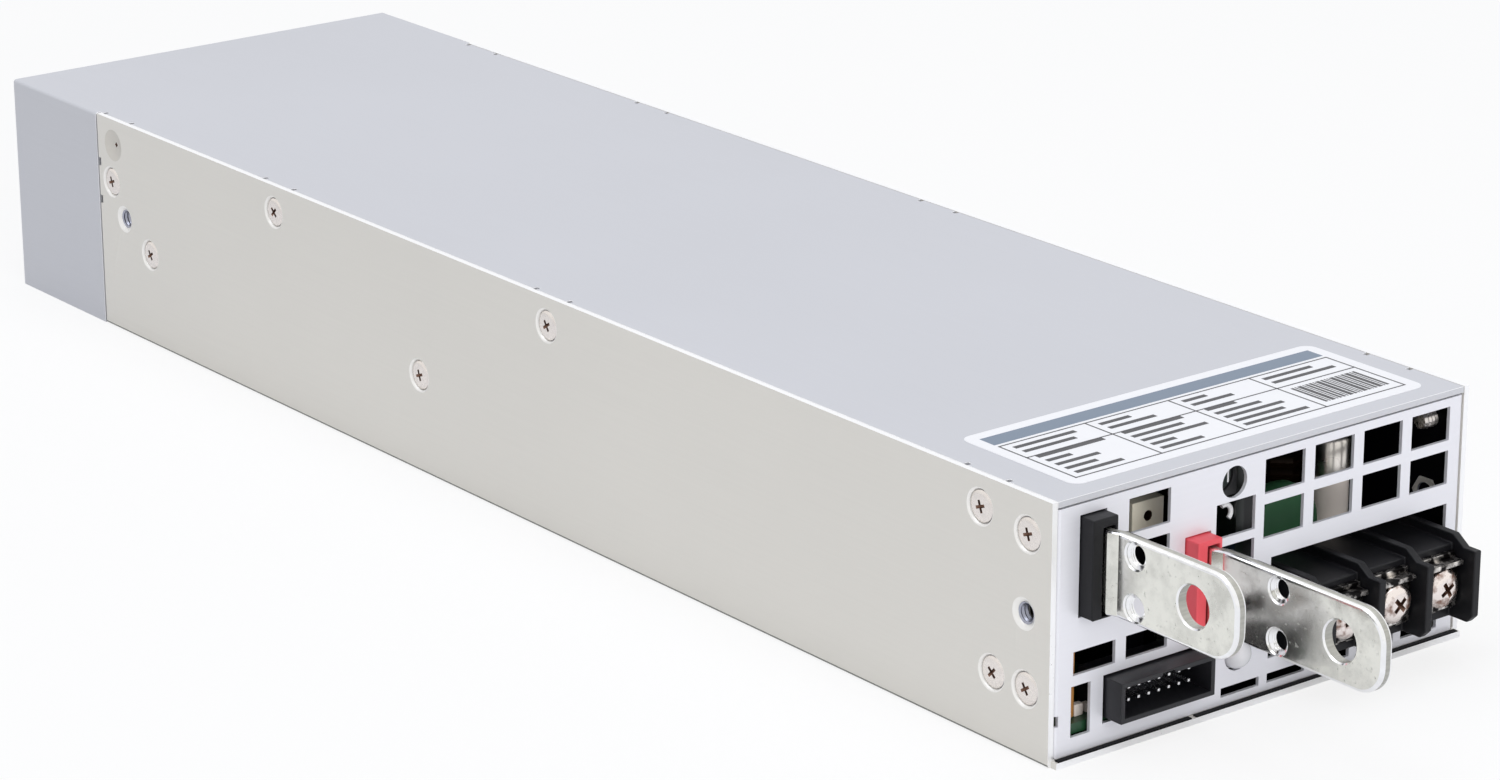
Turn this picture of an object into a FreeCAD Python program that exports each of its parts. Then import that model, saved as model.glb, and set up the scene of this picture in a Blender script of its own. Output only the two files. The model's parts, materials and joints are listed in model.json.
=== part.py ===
import FreeCAD, Part
import math
import os

Vector = FreeCAD.Vector

# Enclosure: overall size, sheet and folds
case_length = 300.0
case_width = 85.0
case_height = 41.0
sheet = 1.0
bend_radius = 0.4
outer_corner = 0.6
floor_lip = 1.2
fold_gap = 0.1
rear_wrap = 31.0
seam_gap = 0.5
seam_notch_width = 0.8
seam_notch_height = 1.6
seam_notch_heights = (24.5, 31.8)

# Side screws: size, places as (distance behind the front, height), drops from the case's top
screw_radius = 1.45
screw_head_radius = 2.8
screw_length = 5.0
screw_clearance = 0.05
panel_screw_low_places = ((5.3, 10.8), (12.7, 11.0))
panel_screw_drop = 6.2
cover_screw_drop = 5.0
cover_screw_stations = (15.8, 124.3, 207.3)
cover_rear_screw_from_seam = 6.0
heatsink_screw_height = 17.5
heatsink_front_screw_station = 162.2
heatsink_rear_screw_from_seam = 17.8
fan_panel_screw_drop = 12.3
fan_panel_screw_from_seam = 4.8

# Tapped mounting holes, each with a pressed hexagon nut inside
tap_radius = 1.65
nut_radius = 2.7
nut_height = 1.6
nut_room = 0.2
side_mount_drop = 18.6
side_mount_front_station = 5.8
side_mount_rear_from_seam = 9.0
base_mount_front_station = 32.0
base_mount_rear_from_seam = 27.0
base_mount_spacing = 60.0

# Cover tabs, folded down inside the walls
tab_width = 8.4
tab_drop = 8.5
relief_width = 0.9
relief_depth = 0.9

# Front panel, of thinner sheet than the tray
panel_sheet = 0.6
panel_bottom_gap = 0.1
panel_top_gap = 0.05
ear_length = 10.0
ear_bottom = 6.2
low_ear_length = 17.0
low_ear_top = 15.5
panel_notch_height = 6.9
panel_notch_size = (0.8, 1.7)

# Vents as (left edge, bottom edge, width, height) from the case's lower left corner
vent_width = 8.2
vent_height = 5.45
vent_row_drops = (15.2, 8.1)
vent_grid_left = 42.1
vent_pitch = 10.25
vent_grid_columns = 4
vent_grid_right_room = 3.95
left_vent_left = 14.85
middle_vent_left = 32.35
middle_vent_width = 7.9
middle_vent_drops = (19.95, 13.15)
low_vent_bottom = 13.35
low_vent_height = 3.7
low_vent_lefts = (4.6, 14.85)
upright_vent = (4.3, 3.7, 3.8, 8.0)
slit_left = 34.35
slit_pitch = 9.5
slit_width = 7.85
slit_bottom = 2.25
slit_height = 1.5
slit_count = 5

# Boards and film, standing on the tray
film_thickness = 0.2
film_lip_edge = 0.05
film_panel_gap = 0.3
film_notch_left = 27.5
film_notch_width = 1.0
standoff_height = 2.6
standoff_radius = 2.5
film_room = 0.5
board_thickness = 1.6
board_side_margin = 2.0
board_front_margin = 0.6
board_rear_from_seam = 13.0
board_hole_inset = 3.6
board_hole_front_station = 18.0
board_screw_radius = 1.25
board_screw_head_radius = 2.4
board_screw_head_height = 1.6

# Bus bars: sheet bars on edge, each with a small joggle near its sleeve
bar_thickness = 2.0
bar_height = 13.0
bar_corner_radius = 5.0
bar_bolt_radius = 3.2
bar_tap_radius = 2.0
bar_tap_spacing = 8.0
bar_joggle = 0.7
bar_joggle_start = 3.2
bar_joggle_end = 4.9
bar_inside = 14.0
bar_leg_width = 6.0

# Per bar: left face, lower edge, reach, bolt and tapped holes before the panel, lift of its sleeve
negative_bar_drop = 18.0
negative_bar = {"left": 8.4, "bottom": case_height - negative_bar_drop, "reach": 29.5,
                "bolt": 20.5, "taps": 8.4, "lift": 0.6}
positive_bar = {"left": 29.2, "bottom": 15.3, "reach": 37.8,
                "bolt": 29.1, "taps": 16.55, "lift": 0.0}

# Insulating sleeves round the bars
sleeve_reach = 2.7
sleeve_left_wall = 2.0
sleeve_right_wall = 0.5
sleeve_end_wall = 0.9
sleeve_side_gap = 0.15
sleeve_end_gap = 0.3
sleeve_flange = 0.9
sleeve_flange_thickness = 1.2
sleeve_panel_gap = 0.2

# Input terminal block
poles = 3
pole_pitch = 10.2
barrier_thickness = 1.45
block_right_room = 6.4
block_bottom = 6.6
block_top = 20.1
block_ridge = 1.5
block_face = 5.4
block_inside = 9.0
barrier_reach = 10.2
barrier_step_start = 5.4
barrier_step_end = 7.7
barrier_nose_top = 18.5
barrier_bevel = 1.2
block_foot_start = 1.6
block_opening_left_gap = 2.65
block_opening_right_gap = 2.65
block_opening_top_gap = 2.4
block_opening_bottom_gap = 0.4
terminal_screw_height = 12.95
terminal_screw_radius = 1.7
terminal_head_radius = 3.2
terminal_head_height = 1.9
terminal_screw_length = 8.0
terminal_bore_clearance = 0.25
terminal_bore_depth = 10.0
terminal_plate_thickness = 1.0
terminal_plate_gap = 0.2
terminal_plate_top = 17.6
terminal_plate_bottom = 8.4
washer_size = 7.8
washer_thickness = 0.8
washer_lip = 1.2
thread_clearance = 0.05

# Control header
header_left = 10.9
header_width = 18.7
header_height = 6.4
header_reach = 3.7
header_inside = 6.0
header_wall = 0.8
header_cavity_depth = 7.0
header_panel_gap = 0.35
header_opening_drop = 0.5
header_key_width = 2.4
header_key_depth = 0.45
pin_pitch = 2.0
pin_columns = 7
pin_rows = 2
pin_size = 0.5
pin_tip_reach = 1.6
pin_low_row_height = 2.5

# Status lamp and its holder
lamp_place = (37.6, 8.6)
lamp_radius = 2.4
lamp_reach = 2.5
lamp_flange = 0.4
lamp_flange_thickness = 1.0
lamp_dome_angles = (50.0,)
lamp_panel_gap = 0.3
holder_width = 6.2
holder_depth = 4.6

# Trimmer and the upright board that carries it
trimmer_left = 35.85
trimmer_drop = 4.75
trimmer_size = 6.8
trimmer_depth = 5.0
trimmer_station = 3.0
trimmer_rotor_radius = 2.3
trimmer_rotor_thickness = 1.2
trimmer_slot_width = 0.7
trimmer_slot_depth = 0.6
trimmer_gap = 0.35
trimmer_hole_radius = 2.45
control_board_length = 62.0
control_board_drop = 2.4
control_board_notch = (6.0, 8.0)

# Label on the cover: margins from the left, right and front edges
label_left = 7.5
label_right = 5.5
label_front = 3.7
label_length = 25.8
label_corner = 1.4
label_thickness = 0.1

# Thermistor disc and tube fuse behind the terminal block
thermistor_place = (57.6, 12.6)
thermistor_radius = 7.6
thermistor_thickness = 5.0
thermistor_lift = 8.0
thermistor_lead = 0.5
fuse_place = (69.2, 13.4)
fuse_radius = 3.0
fuse_cap_radius = 3.15
fuse_cap_length = 6.4
fuse_length = 27.0
fuse_lift = 0.8
fuse_lead = 0.5

# Wound parts: centre from the left and behind the front; sizes across, along, up and of a side leg
filter_choke_place = (71.0, 32.0)
filter_choke_size = (20.0, 14.0, 26.0, 3.0)
output_choke_place = (14.5, 97.0)
output_choke_size = (20.0, 14.0, 24.0, 3.0)
transformer_place = (30.0, 130.0)
transformer_size = (36.0, 18.0, 30.0, 5.0)
boost_choke_from_seam = 46.0
boost_choke_left = 42.5
boost_choke_size = (34.0, 20.0, 30.0, 5.0)
coil_gap = 0.3
coil_overhang = 6.0
coil_corner = 2.5

# Boxed parts as (left, station), sizes across, along and up
film_capacitor_place = (45.5, 20.0)
film_capacitor_size = (14.0, 24.0, 20.0)
box_corner = 1.2
relay_place = (46.5, 50.0)
relay_size = (13.0, 24.0, 16.0)
bridge_place = (74.5, 48.0)
bridge_size = (4.6, 30.0, 20.0)
lead_size = 0.9
lead_inset = 1.5

# Capacitors
bulk_half_width = 11.0
bulk_roof_gap = 2.8
bulk_column = 61.0
bulk_first_station = 92.0
bulk_pitch = 23.5
bulk_from_boost_choke = 26.0
output_capacitor_radius = 5.0
output_capacitor_height = 24.0
output_capacitor_column = 8.0
output_capacitor_first_station = 28.0
output_capacitor_pitch = 12.0
output_capacitor_count = 4

# Heat sinks on the walls, and the one between output parts
wall_sink_base = 3.0
wall_sink_fin = 1.4
wall_sink_depth = 11.0
wall_sink_fins = 4
wall_sink_bottom = 9.0
wall_sink_drop = 11.0
wall_sink_end = 6.0
output_sink_left = 22.0
output_sink_station = 7.0
output_sink_length = 72.0
output_sink_web = 3.0
output_sink_head_width = 6.3
output_sink_head_height = 5.0
output_sink_drop = 7.1
output_sink_hole_radius = 0.8
output_sink_hole_depth = 5.0

# Flat power packages against the heat sinks: thick, long, tall
package_size = (4.4, 10.0, 15.0)
package_lift = 4.0
package_count = 4
package_pitch = 15.0

# Fans
fan_roof_room = 0.5
fan_side_room = 1.5
fan_gap = 2.0
fan_depth = 28.0
fan_corner = 2.5
fan_wall = 1.0
fan_hole_inset = 3.0
fan_hole_radius = 1.6
fan_hole_depth = 8.0
fan_screw_radius = 1.5
fan_screw_head_radius = 2.6
fan_base_inset = 0.4
fan_base_thickness = 2.0
fan_strut_width = 2.2
fan_struts = 4
fan_hub_share = 0.61
fan_hub_wall = 1.4
fan_hub_length = 21.0
fan_running_gap = 0.7
fan_tip_gap = 0.8
fan_blades = 5
fan_blade_thickness = 0.9
fan_blade_root_share = 1.18
fan_blade_tip_share = 1.36
fan_blade_root_angle = 24.0
fan_blade_tip_angle = 36.0
fan_blade_camber = 1.2
fan_blade_root_sink = 1.05
fan_shaft_radius = 1.0
fan_shaft_fit = 0.03
fan_bearing_radius = 2.4
fan_tube_wall = 0.9
fan_seat_fit = 0.05
fan_tube_length = 13.0
fan_stator_gap = 0.8
fan_stator_length = 8.0
fan_panel_flange_drop = 9.8
fan_panel_flange_bottom = 6.0
fan_panel_tongue_drop = 14.8
fan_panel_tongue_past_seam = 8.0

# Fan grille: level slots that fill a circle round each fan's axis
grille_margin = 0.8
grille_slots = 7
grille_end_room = 0.82
grille_open_share = 0.6

# Share of a raised screw head's radius that is left on top
crown_top = 0.8

# Number of flats on small turned pieces
nut_flat_count = 6
screw_flat_count = 6
head_flat_count = 8
can_flat_count = 12
hole_flat_count = 16
hub_flat_count = 16
bore_flat_count = 40

# Planes worked out from the sizes above
half_width = case_width / 2
front_y = -case_length / 2
rear_y = case_length / 2
seam_y = rear_y - rear_wrap
seam_station = case_length - rear_wrap
inner_x = half_width - sheet
fold_x = inner_x - fold_gap
roof_z = case_height - sheet
board_bottom = sheet + standoff_height
board_top = board_bottom + board_thickness
panel_back = front_y + panel_sheet
layout_width = vent_grid_left + (vent_grid_columns - 1) * vent_pitch + vent_width + vent_grid_right_room
share = case_width / layout_width
panel_screw_top = (panel_screw_low_places[0][0], case_height - panel_screw_drop)
panel_screw_places = (panel_screw_top,) + panel_screw_low_places
cover_screw_height = case_height - cover_screw_drop
fan_panel_screw_height = case_height - fan_panel_screw_drop
side_mount_height = case_height - side_mount_drop
vent_row_bottoms = [case_height - drop for drop in vent_row_drops]
middle_vent_bottoms = [case_height - drop for drop in middle_vent_drops]
trimmer_place = (trimmer_left, case_height - trimmer_drop)
control_board_top = case_height - control_board_drop
wall_sink_top = case_height - wall_sink_drop
output_sink_top = case_height - output_sink_drop
fan_panel_flange_top = case_height - fan_panel_flange_drop
fan_panel_tongue_bottom = case_height - fan_panel_tongue_drop
bulk_radius = share * bulk_half_width
wall_sink_reach = share * wall_sink_depth
bulk_height = roof_z - board_top - bulk_roof_gap
fan_spacing = inner_x - fan_side_room
fan_size = min(roof_z - sheet - 2 * fan_roof_room, fan_spacing - fan_gap)
fan_bore_radius = fan_size / 2 - fan_wall
fan_hole_offset = fan_size / 2 - fan_hole_inset
grille_radius = fan_bore_radius - grille_margin
fan_hub_radius = fan_bore_radius * fan_hub_share
fan_base_radius = fan_hub_radius - fan_base_inset
fan_stator_radius = fan_hub_radius - fan_hub_wall - fan_stator_gap
fan_blade_tip_chord = fan_hub_radius * fan_blade_tip_share
fan_blade_root_chord = fan_hub_radius * fan_blade_root_share
grille_slot_pitch = 2 * grille_radius / (grille_slots + grille_end_room)
grille_slot_height = grille_slot_pitch * grille_open_share
cover_stations = cover_screw_stations + (seam_station - cover_rear_screw_from_seam,)
heatsink_stations = (heatsink_front_screw_station, seam_station - heatsink_rear_screw_from_seam)
side_mount_stations = (side_mount_front_station, seam_station - side_mount_rear_from_seam)
base_mount_stations = (base_mount_front_station, seam_station - base_mount_rear_from_seam)
boost_choke_station = seam_station - boost_choke_from_seam
pole_gap = pole_pitch - barrier_thickness
block_width = poles * pole_pitch + barrier_thickness
block_x = half_width - block_right_room - block_width


def across(left):
    """X of a place measured from the left side of a case of the layout's width."""
    return left * share - half_width


def behind(station):
    """Y of a place measured back from the front; in front is negative."""
    return front_y + station


def block(x0, x1, y0, y1, z0, z1):
    return Part.makeBox(x1 - x0, y1 - y0, z1 - z0, Vector(x0, y0, z0))


def prism(points, travel):
    """Straight-sided solid: a flat outline pushed along a vector."""
    outline = Part.makePolygon(points + [points[0]])
    return Part.Face(outline).extrude(travel)


def ring(flats, radius, height):
    """Corners of a regular outline about the Z axis, at a height."""
    corners = []
    for index in range(flats):
        angle = 2 * math.pi * (index + 0.5) / flats
        corners.append(Vector(radius * math.cos(angle), radius * math.sin(angle), height))
    return corners


def flat_face(corners):
    return Part.Face(Part.makePolygon(corners + [corners[0]]))


def skin(a, b, c, d):
    """One flat face over four corners, or two when they don't lie in a plane."""
    normal = (b - a).cross(c - a)
    if abs(normal.dot(d - a)) < 1e-6:
        return [flat_face([a, b, c, d])]
    return [flat_face([a, b, c]), flat_face([a, c, d])]


def skinned(rings):
    """Flat-sided solid through outlines of equal corner count."""
    faces = [flat_face(rings[0]), flat_face(rings[-1])]
    for low, high in zip(rings, rings[1:]):
        for index in range(len(low)):
            after = (index + 1) % len(low)
            faces += skin(low[index], low[after], high[after], high[index])
    solid = Part.makeSolid(Part.makeShell(faces))
    if solid.Volume < 0:
        solid.reverse()
    return solid


def set_on(shape, centre, axis):
    """Move a piece made about the Z axis to its place."""
    shape.Placement = FreeCAD.Placement(centre, FreeCAD.Rotation(Vector(0, 0, 1), axis))
    return shape


def post(flats, radius, length, centre, axis=Vector(0, 0, 1)):
    """Straight many-sided post."""
    body = skinned([ring(flats, radius, 0), ring(flats, radius, length)])
    return set_on(body, centre, axis)


def countersunk(head, shank, length, gap, centre, axis):
    """Flat-headed screw, or its seat when the gap is above zero."""
    steps = [(0, head), (sheet, shank), (length, shank)]
    body = skinned([ring(screw_flat_count, radius + gap, depth) for depth, radius in steps])
    return set_on(body, centre, axis)


def pan_head(head, shank, height, length, centre, axis):
    """Raised-head screw, its seat at the centre and its shank pointing back."""
    steps = [(0, head), (height, head * crown_top)]
    crown = skinned([ring(head_flat_count, radius, level) for level, radius in steps])
    stem = post(screw_flat_count, shank, length, Vector(0, 0, -length))
    return set_on(joined([crown, stem]), centre, axis)


def joined(shapes):
    whole = shapes[0].multiFuse(shapes[1:])
    return whole.removeSplitter()


def mirrored(shape):
    return shape.mirror(Vector(0, 0, 0), Vector(1, 0, 0))


def both_sides(shape):
    return [shape, mirrored(shape)]


def rounded(solid, radius, chosen):
    """Fillet the edges whose middle passes the test."""
    edges = [edge for edge in solid.Edges if chosen(edge)]
    return solid.makeFillet(radius, edges)


def runs_along(edge, direction):
    start = edge.Vertexes[0].Point
    end = edge.Vertexes[-1].Point
    return (end - start).cross(direction).Length < 1e-6 and (end - start).Length > 1e-6


def side_edges(direction, offset, height):
    """Test for edges along a direction at a given |x| and z."""
    def chosen(edge):
        middle = edge.CenterOfMass
        level = abs(middle.z - height) < 1e-6
        return runs_along(edge, direction) and abs(abs(middle.x) - offset) < 1e-6 and level
    return chosen


def upright_edges(edge):
    return runs_along(edge, Vector(0, 0, 1))


def bevelled(solid, size, chosen=upright_edges):
    """Flat bevel on the chosen edges."""
    return solid.makeChamfer(size, [edge for edge in solid.Edges if chosen(edge)])


def lengthwise_edges(edge):
    return runs_along(edge, Vector(0, 1, 0))


def side_screw(station, height, gap=0.0):
    """One screw, or its seat, in the left wall."""
    centre = Vector(-half_width, behind(station), height)
    return countersunk(screw_head_radius, screw_radius, screw_length, gap, centre, Vector(1, 0, 0))


def screws_at(places, gap=0.0):
    shapes = []
    for station, height in places:
        shapes += both_sides(side_screw(station, height, gap))
    return shapes


def cover_screw_places():
    return [(station, cover_screw_height) for station in cover_stations]


def heatsink_screw_places():
    return [(station, heatsink_screw_height) for station in heatsink_stations]


def fan_panel_screw_places():
    return [(seam_station - fan_panel_screw_from_seam, fan_panel_screw_height)]


def all_screw_seats():
    places = list(panel_screw_places) + cover_screw_places()
    places += heatsink_screw_places() + fan_panel_screw_places()
    return screws_at(places, screw_clearance)


def side_mount_places():
    return [Vector(-half_width, behind(station), side_mount_height) for station in side_mount_stations]


def side_nuts(gap=0.0):
    """Pressed nut inside the wall at each side mounting hole."""
    nuts = []
    for foot in side_mount_places():
        nuts += both_sides(post(nut_flat_count, nut_radius + gap, sheet + nut_height, foot, Vector(1, 0, 0)))
    return nuts


def mount_taps():
    """Threaded side holes, and plain holes in the bottom."""
    taps = []
    for foot in side_mount_places():
        taps += both_sides(Part.makeCylinder(tap_radius, sheet + nut_height, foot, Vector(1, 0, 0)))
    for station in base_mount_stations:
        foot = Vector(-share * base_mount_spacing / 2, behind(station), 0)
        taps += both_sides(post(head_flat_count, tap_radius, sheet, foot))
    return taps


def chassis_tray():
    """Bottom and walls folded from one sheet: a lip in front, a tongue under the fans."""
    along = Vector(0, 1, 0)
    channel = block(-half_width, half_width, front_y, seam_y - seam_gap, 0, case_height)
    hollow = block(-inner_x, inner_x, front_y, seam_y - seam_gap, sheet, case_height)
    channel = channel.cut(hollow)
    channel = rounded(channel, outer_corner, side_edges(along, half_width, 0))
    channel = bevelled(channel, bend_radius, side_edges(along, inner_x, sheet))
    tongue = block(-fold_x, fold_x, seam_y - seam_gap, rear_y, 0, sheet)
    lip = block(-half_width + outer_corner, half_width - outer_corner, front_y - floor_lip, front_y,
                0, sheet)
    tray = joined([channel, tongue, lip] + side_nuts())
    cuts = mount_taps() + all_screw_seats()
    for height in seam_notch_heights:
        low = height - seam_notch_height / 2
        notch = block(-half_width, -inner_x, seam_y - seam_gap - seam_notch_width,
                      seam_y - seam_gap, low, low + seam_notch_height)
        cuts += both_sides(notch)
    return tray.cut(cuts)


def cover_tab(station):
    """Tab folded down at one screw on the left."""
    middle = behind(station)
    return block(-fold_x, -fold_x + sheet, middle - tab_width / 2, middle + tab_width / 2,
                 roof_z - tab_drop, roof_z)


def cover_reliefs(station):
    middle = behind(station)
    cuts = []
    for edge in (middle - tab_width / 2 - relief_width, middle + tab_width / 2):
        cuts.append(block(-fold_x, -fold_x + relief_depth, edge, edge + relief_width,
                          roof_z, case_height))
    return cuts


def top_cover():
    """Lid between the walls; at the rear it wraps down both sides."""
    along = Vector(0, 1, 0)
    lid = block(-fold_x, fold_x, front_y, seam_y, roof_z, case_height)
    wrap = block(-half_width, half_width, seam_y, rear_y, 0, case_height)
    wrap = wrap.cut(block(-inner_x, inner_x, seam_y, rear_y, 0, roof_z))
    wrap = rounded(wrap, outer_corner, side_edges(along, half_width, case_height))
    wrap = bevelled(wrap, bend_radius, side_edges(along, inner_x, roof_z))
    tabs = []
    cuts = []
    for station in cover_stations:
        tabs += both_sides(cover_tab(station))
        for relief in cover_reliefs(station):
            cuts += both_sides(relief)
    cover = joined([lid, wrap] + tabs)
    return cover.cut(cuts + screws_at(cover_screw_places(), screw_clearance))


def window(left, bottom, width, height):
    """Rectangular punch through the front panel."""
    x0 = across(left)
    return block(x0, x0 + width, front_y, panel_back, bottom, bottom + height)


def vent(left, bottom, width, height):
    """Punch whose width follows the case's width."""
    return window(left, bottom, width * share, height)


def vent_windows():
    cuts = []
    for bottom in vent_row_bottoms:
        cuts.append(vent(left_vent_left, bottom, vent_width, vent_height))
        for column in range(vent_grid_columns):
            left = vent_grid_left + column * vent_pitch
            cuts.append(vent(left, bottom, vent_width, vent_height))
    for bottom in middle_vent_bottoms:
        cuts.append(vent(middle_vent_left, bottom, middle_vent_width, vent_height))
    for left in low_vent_lefts:
        cuts.append(vent(left, low_vent_bottom, vent_width, low_vent_height))
    for slit in range(slit_count):
        cuts.append(vent(slit_left + slit * slit_pitch, slit_bottom, slit_width, slit_height))
    cuts.append(vent(*upright_vent))
    return cuts


def sleeve_outline(bar):
    """Left x, bottom, width and height of a bar's insulating sleeve."""
    left = across(bar["left"]) - bar_joggle - sleeve_side_gap - sleeve_left_wall
    width = sleeve_left_wall + bar_thickness + 2 * sleeve_side_gap + sleeve_right_wall
    bottom = bar["bottom"] + bar["lift"] - sleeve_end_gap - sleeve_end_wall
    height = bar_height + 2 * (sleeve_end_gap + sleeve_end_wall)
    return left, bottom, width, height


def grown(outline, gap):
    left, bottom, width, height = outline
    return left - gap, bottom - gap, width + 2 * gap, height + 2 * gap


def opening(outline):
    """Punch through the front panel round a connector's outline."""
    x0, bottom, width, height = outline
    return block(x0, x0 + width, front_y, panel_back, bottom, bottom + height)


def connector_windows():
    cuts = [opening(grown(sleeve_outline(bar), sleeve_panel_gap)) for bar in (negative_bar, positive_bar)]
    header = (across(header_left), board_top - header_opening_drop, header_width,
              header_height + header_opening_drop)
    cuts.append(opening(grown(header, header_panel_gap)))
    opening_width = block_width + block_opening_left_gap + block_opening_right_gap
    opening_bottom = block_bottom - block_opening_bottom_gap
    cuts.append(opening((block_x - block_opening_left_gap, opening_bottom, opening_width,
                         block_top + block_opening_top_gap - opening_bottom)))
    for place, radius in ((lamp_place, lamp_radius + lamp_panel_gap),
                          (trimmer_place, trimmer_hole_radius)):
        centre = Vector(across(place[0]), front_y, place[1])
        cuts.append(post(hole_flat_count, radius, panel_sheet, centre, Vector(0, 1, 0)))
    return cuts


def panel_ear():
    """Ear folded back inside the left wall, longer at its foot."""
    top = roof_z - panel_top_gap
    points = [(front_y, ear_bottom), (front_y + low_ear_length, ear_bottom),
              (front_y + low_ear_length, low_ear_top), (front_y + ear_length, low_ear_top),
              (front_y + ear_length, top), (front_y, top)]
    ear = prism([Vector(-fold_x, y, z) for y, z in points], Vector(panel_sheet, 0, 0))
    return ear.cut(side_nuts(nut_room))


def front_panel():
    """Punched plate, its lower corners cut for the tray's bends, with an ear folded back at each side."""
    bottom = sheet + panel_bottom_gap
    top = roof_z - panel_top_gap
    shoulder = bottom + bend_radius
    side = fold_x - bend_radius
    outline = [(-fold_x, shoulder), (-side, bottom), (side, bottom), (fold_x, shoulder), (fold_x, top),
               (-fold_x, top)]
    plate = prism([Vector(x, front_y, z) for x, z in outline], Vector(0, panel_sheet, 0))
    panel = joined([plate] + both_sides(panel_ear()))

    def outer_bend(edge):
        middle = edge.CenterOfMass
        at_corner = abs(abs(middle.x) - fold_x) < 1e-6 and abs(middle.y - front_y) < 1e-6
        return at_corner and upright_edges(edge)

    panel = rounded(panel, bend_radius + panel_sheet / 2, outer_bend)
    width, height = panel_notch_size
    low = panel_notch_height - height / 2
    notch = block(-fold_x, -fold_x + width, front_y, panel_back, low, low + height)
    cuts = vent_windows() + connector_windows() + both_sides(notch)
    return panel.cut(cuts + screws_at(panel_screw_places, screw_clearance))


def fan_centres():
    height = (sheet + roof_z) / 2
    return {"left": (-fan_spacing / 2, height), "right": (fan_spacing / 2, height)}


def grille_cuts(x, z):
    """Level slots, each as long as the circle is wide at its outer edge."""
    cuts = []
    for index in range(grille_slots):
        level = (index - (grille_slots - 1) / 2) * grille_slot_pitch
        edge = abs(level) + grille_slot_height / 2
        half = math.sqrt(grille_radius ** 2 - edge ** 2)
        cuts.append(block(x - half, x + half, rear_y - sheet, rear_y,
                          z + level - grille_slot_height / 2, z + level + grille_slot_height / 2))
    return cuts


def fan_screw(x, z, gap=0.0):
    return countersunk(fan_screw_head_radius, fan_screw_radius, fan_hole_depth, gap,
                       Vector(x, rear_y, z), Vector(0, -1, 0))


def fan_screw_shapes(gap=0.0):
    shapes = []
    for x, z in fan_centres().values():
        for side in (-1, 1):
            shapes.append(fan_screw(x + side * fan_hole_offset, z + side * fan_hole_offset, gap))
    return shapes


def fan_panel():
    """Rear plate with a slotted grille per fan and a flange along each wall."""
    plate = block(-fold_x, fold_x, rear_y - sheet, rear_y,
                  sheet + fold_gap, roof_z - bend_radius)
    flange = block(-fold_x, -fold_x + sheet, seam_y, rear_y,
                   fan_panel_flange_bottom, fan_panel_flange_top)
    tongue = block(-fold_x, -fold_x + sheet, seam_y - fan_panel_tongue_past_seam, seam_y,
                   fan_panel_tongue_bottom, fan_panel_flange_top)
    panel = joined([plate] + both_sides(flange) + both_sides(tongue))
    cuts = fan_screw_shapes(screw_clearance)
    cuts += screws_at(fan_panel_screw_places(), screw_clearance)
    for x, z in fan_centres().values():
        cuts += grille_cuts(x, z)
    return panel.cut(cuts)


def rating_label():
    """Thin sticker with cut corners on the cover."""
    front = behind(label_front)
    label = block(across(label_left), half_width - label_right, front, front + label_length,
                  case_height, case_height + label_thickness)
    return bevelled(label, label_corner)


def board_hole_places():
    """Fixing places near the main board's corners."""
    side = inner_x - board_side_margin - board_hole_inset
    stations = (board_hole_front_station, seam_station - board_rear_from_seam - board_hole_inset)
    return [(x, behind(station)) for station in stations for x in (-side, side)]


def board_posts(flats, radius, bottom, height):
    return [post(flats, radius, height, Vector(x, y, bottom)) for x, y in board_hole_places()]


def board_outline(bottom, top):
    side = inner_x - board_side_margin
    return block(-side, side, panel_back + board_front_margin,
                 seam_y - board_rear_from_seam, bottom, top)


def insulating_film():
    """Film under the board, and its strip on the floor's lip, parted by a notch."""
    top = sheet + film_thickness
    room = board_posts(nut_flat_count, standoff_radius + film_room, sheet, film_thickness)
    film = board_outline(sheet, top).cut(room)
    notch = across(film_notch_left)
    strips = [block(left, right, front_y - floor_lip + film_lip_edge, front_y - film_panel_gap,
                    sheet, top) for left, right in ((-fold_x, notch), (notch + film_notch_width, fold_x))]
    return Part.makeCompound([film] + strips)


def main_board():
    board = board_outline(board_bottom, board_top)
    radius = board_screw_radius + screw_clearance
    return board.cut(board_posts(screw_flat_count, radius, board_bottom, board_thickness))


def board_standoffs():
    """Hexagon posts between the tray and the board."""
    posts = board_posts(nut_flat_count, standoff_radius, sheet, standoff_height)
    taps = board_posts(screw_flat_count, board_screw_radius + screw_clearance, sheet, standoff_height)
    return Part.makeCompound([body.cut(tap) for body, tap in zip(posts, taps)])


def board_screws():
    length = board_thickness + standoff_height
    return Part.makeCompound([pan_head(board_screw_head_radius, board_screw_radius,
                                       board_screw_head_height, length, Vector(x, y, board_top),
                                       Vector(0, 0, 1)) for x, y in board_hole_places()])


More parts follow.
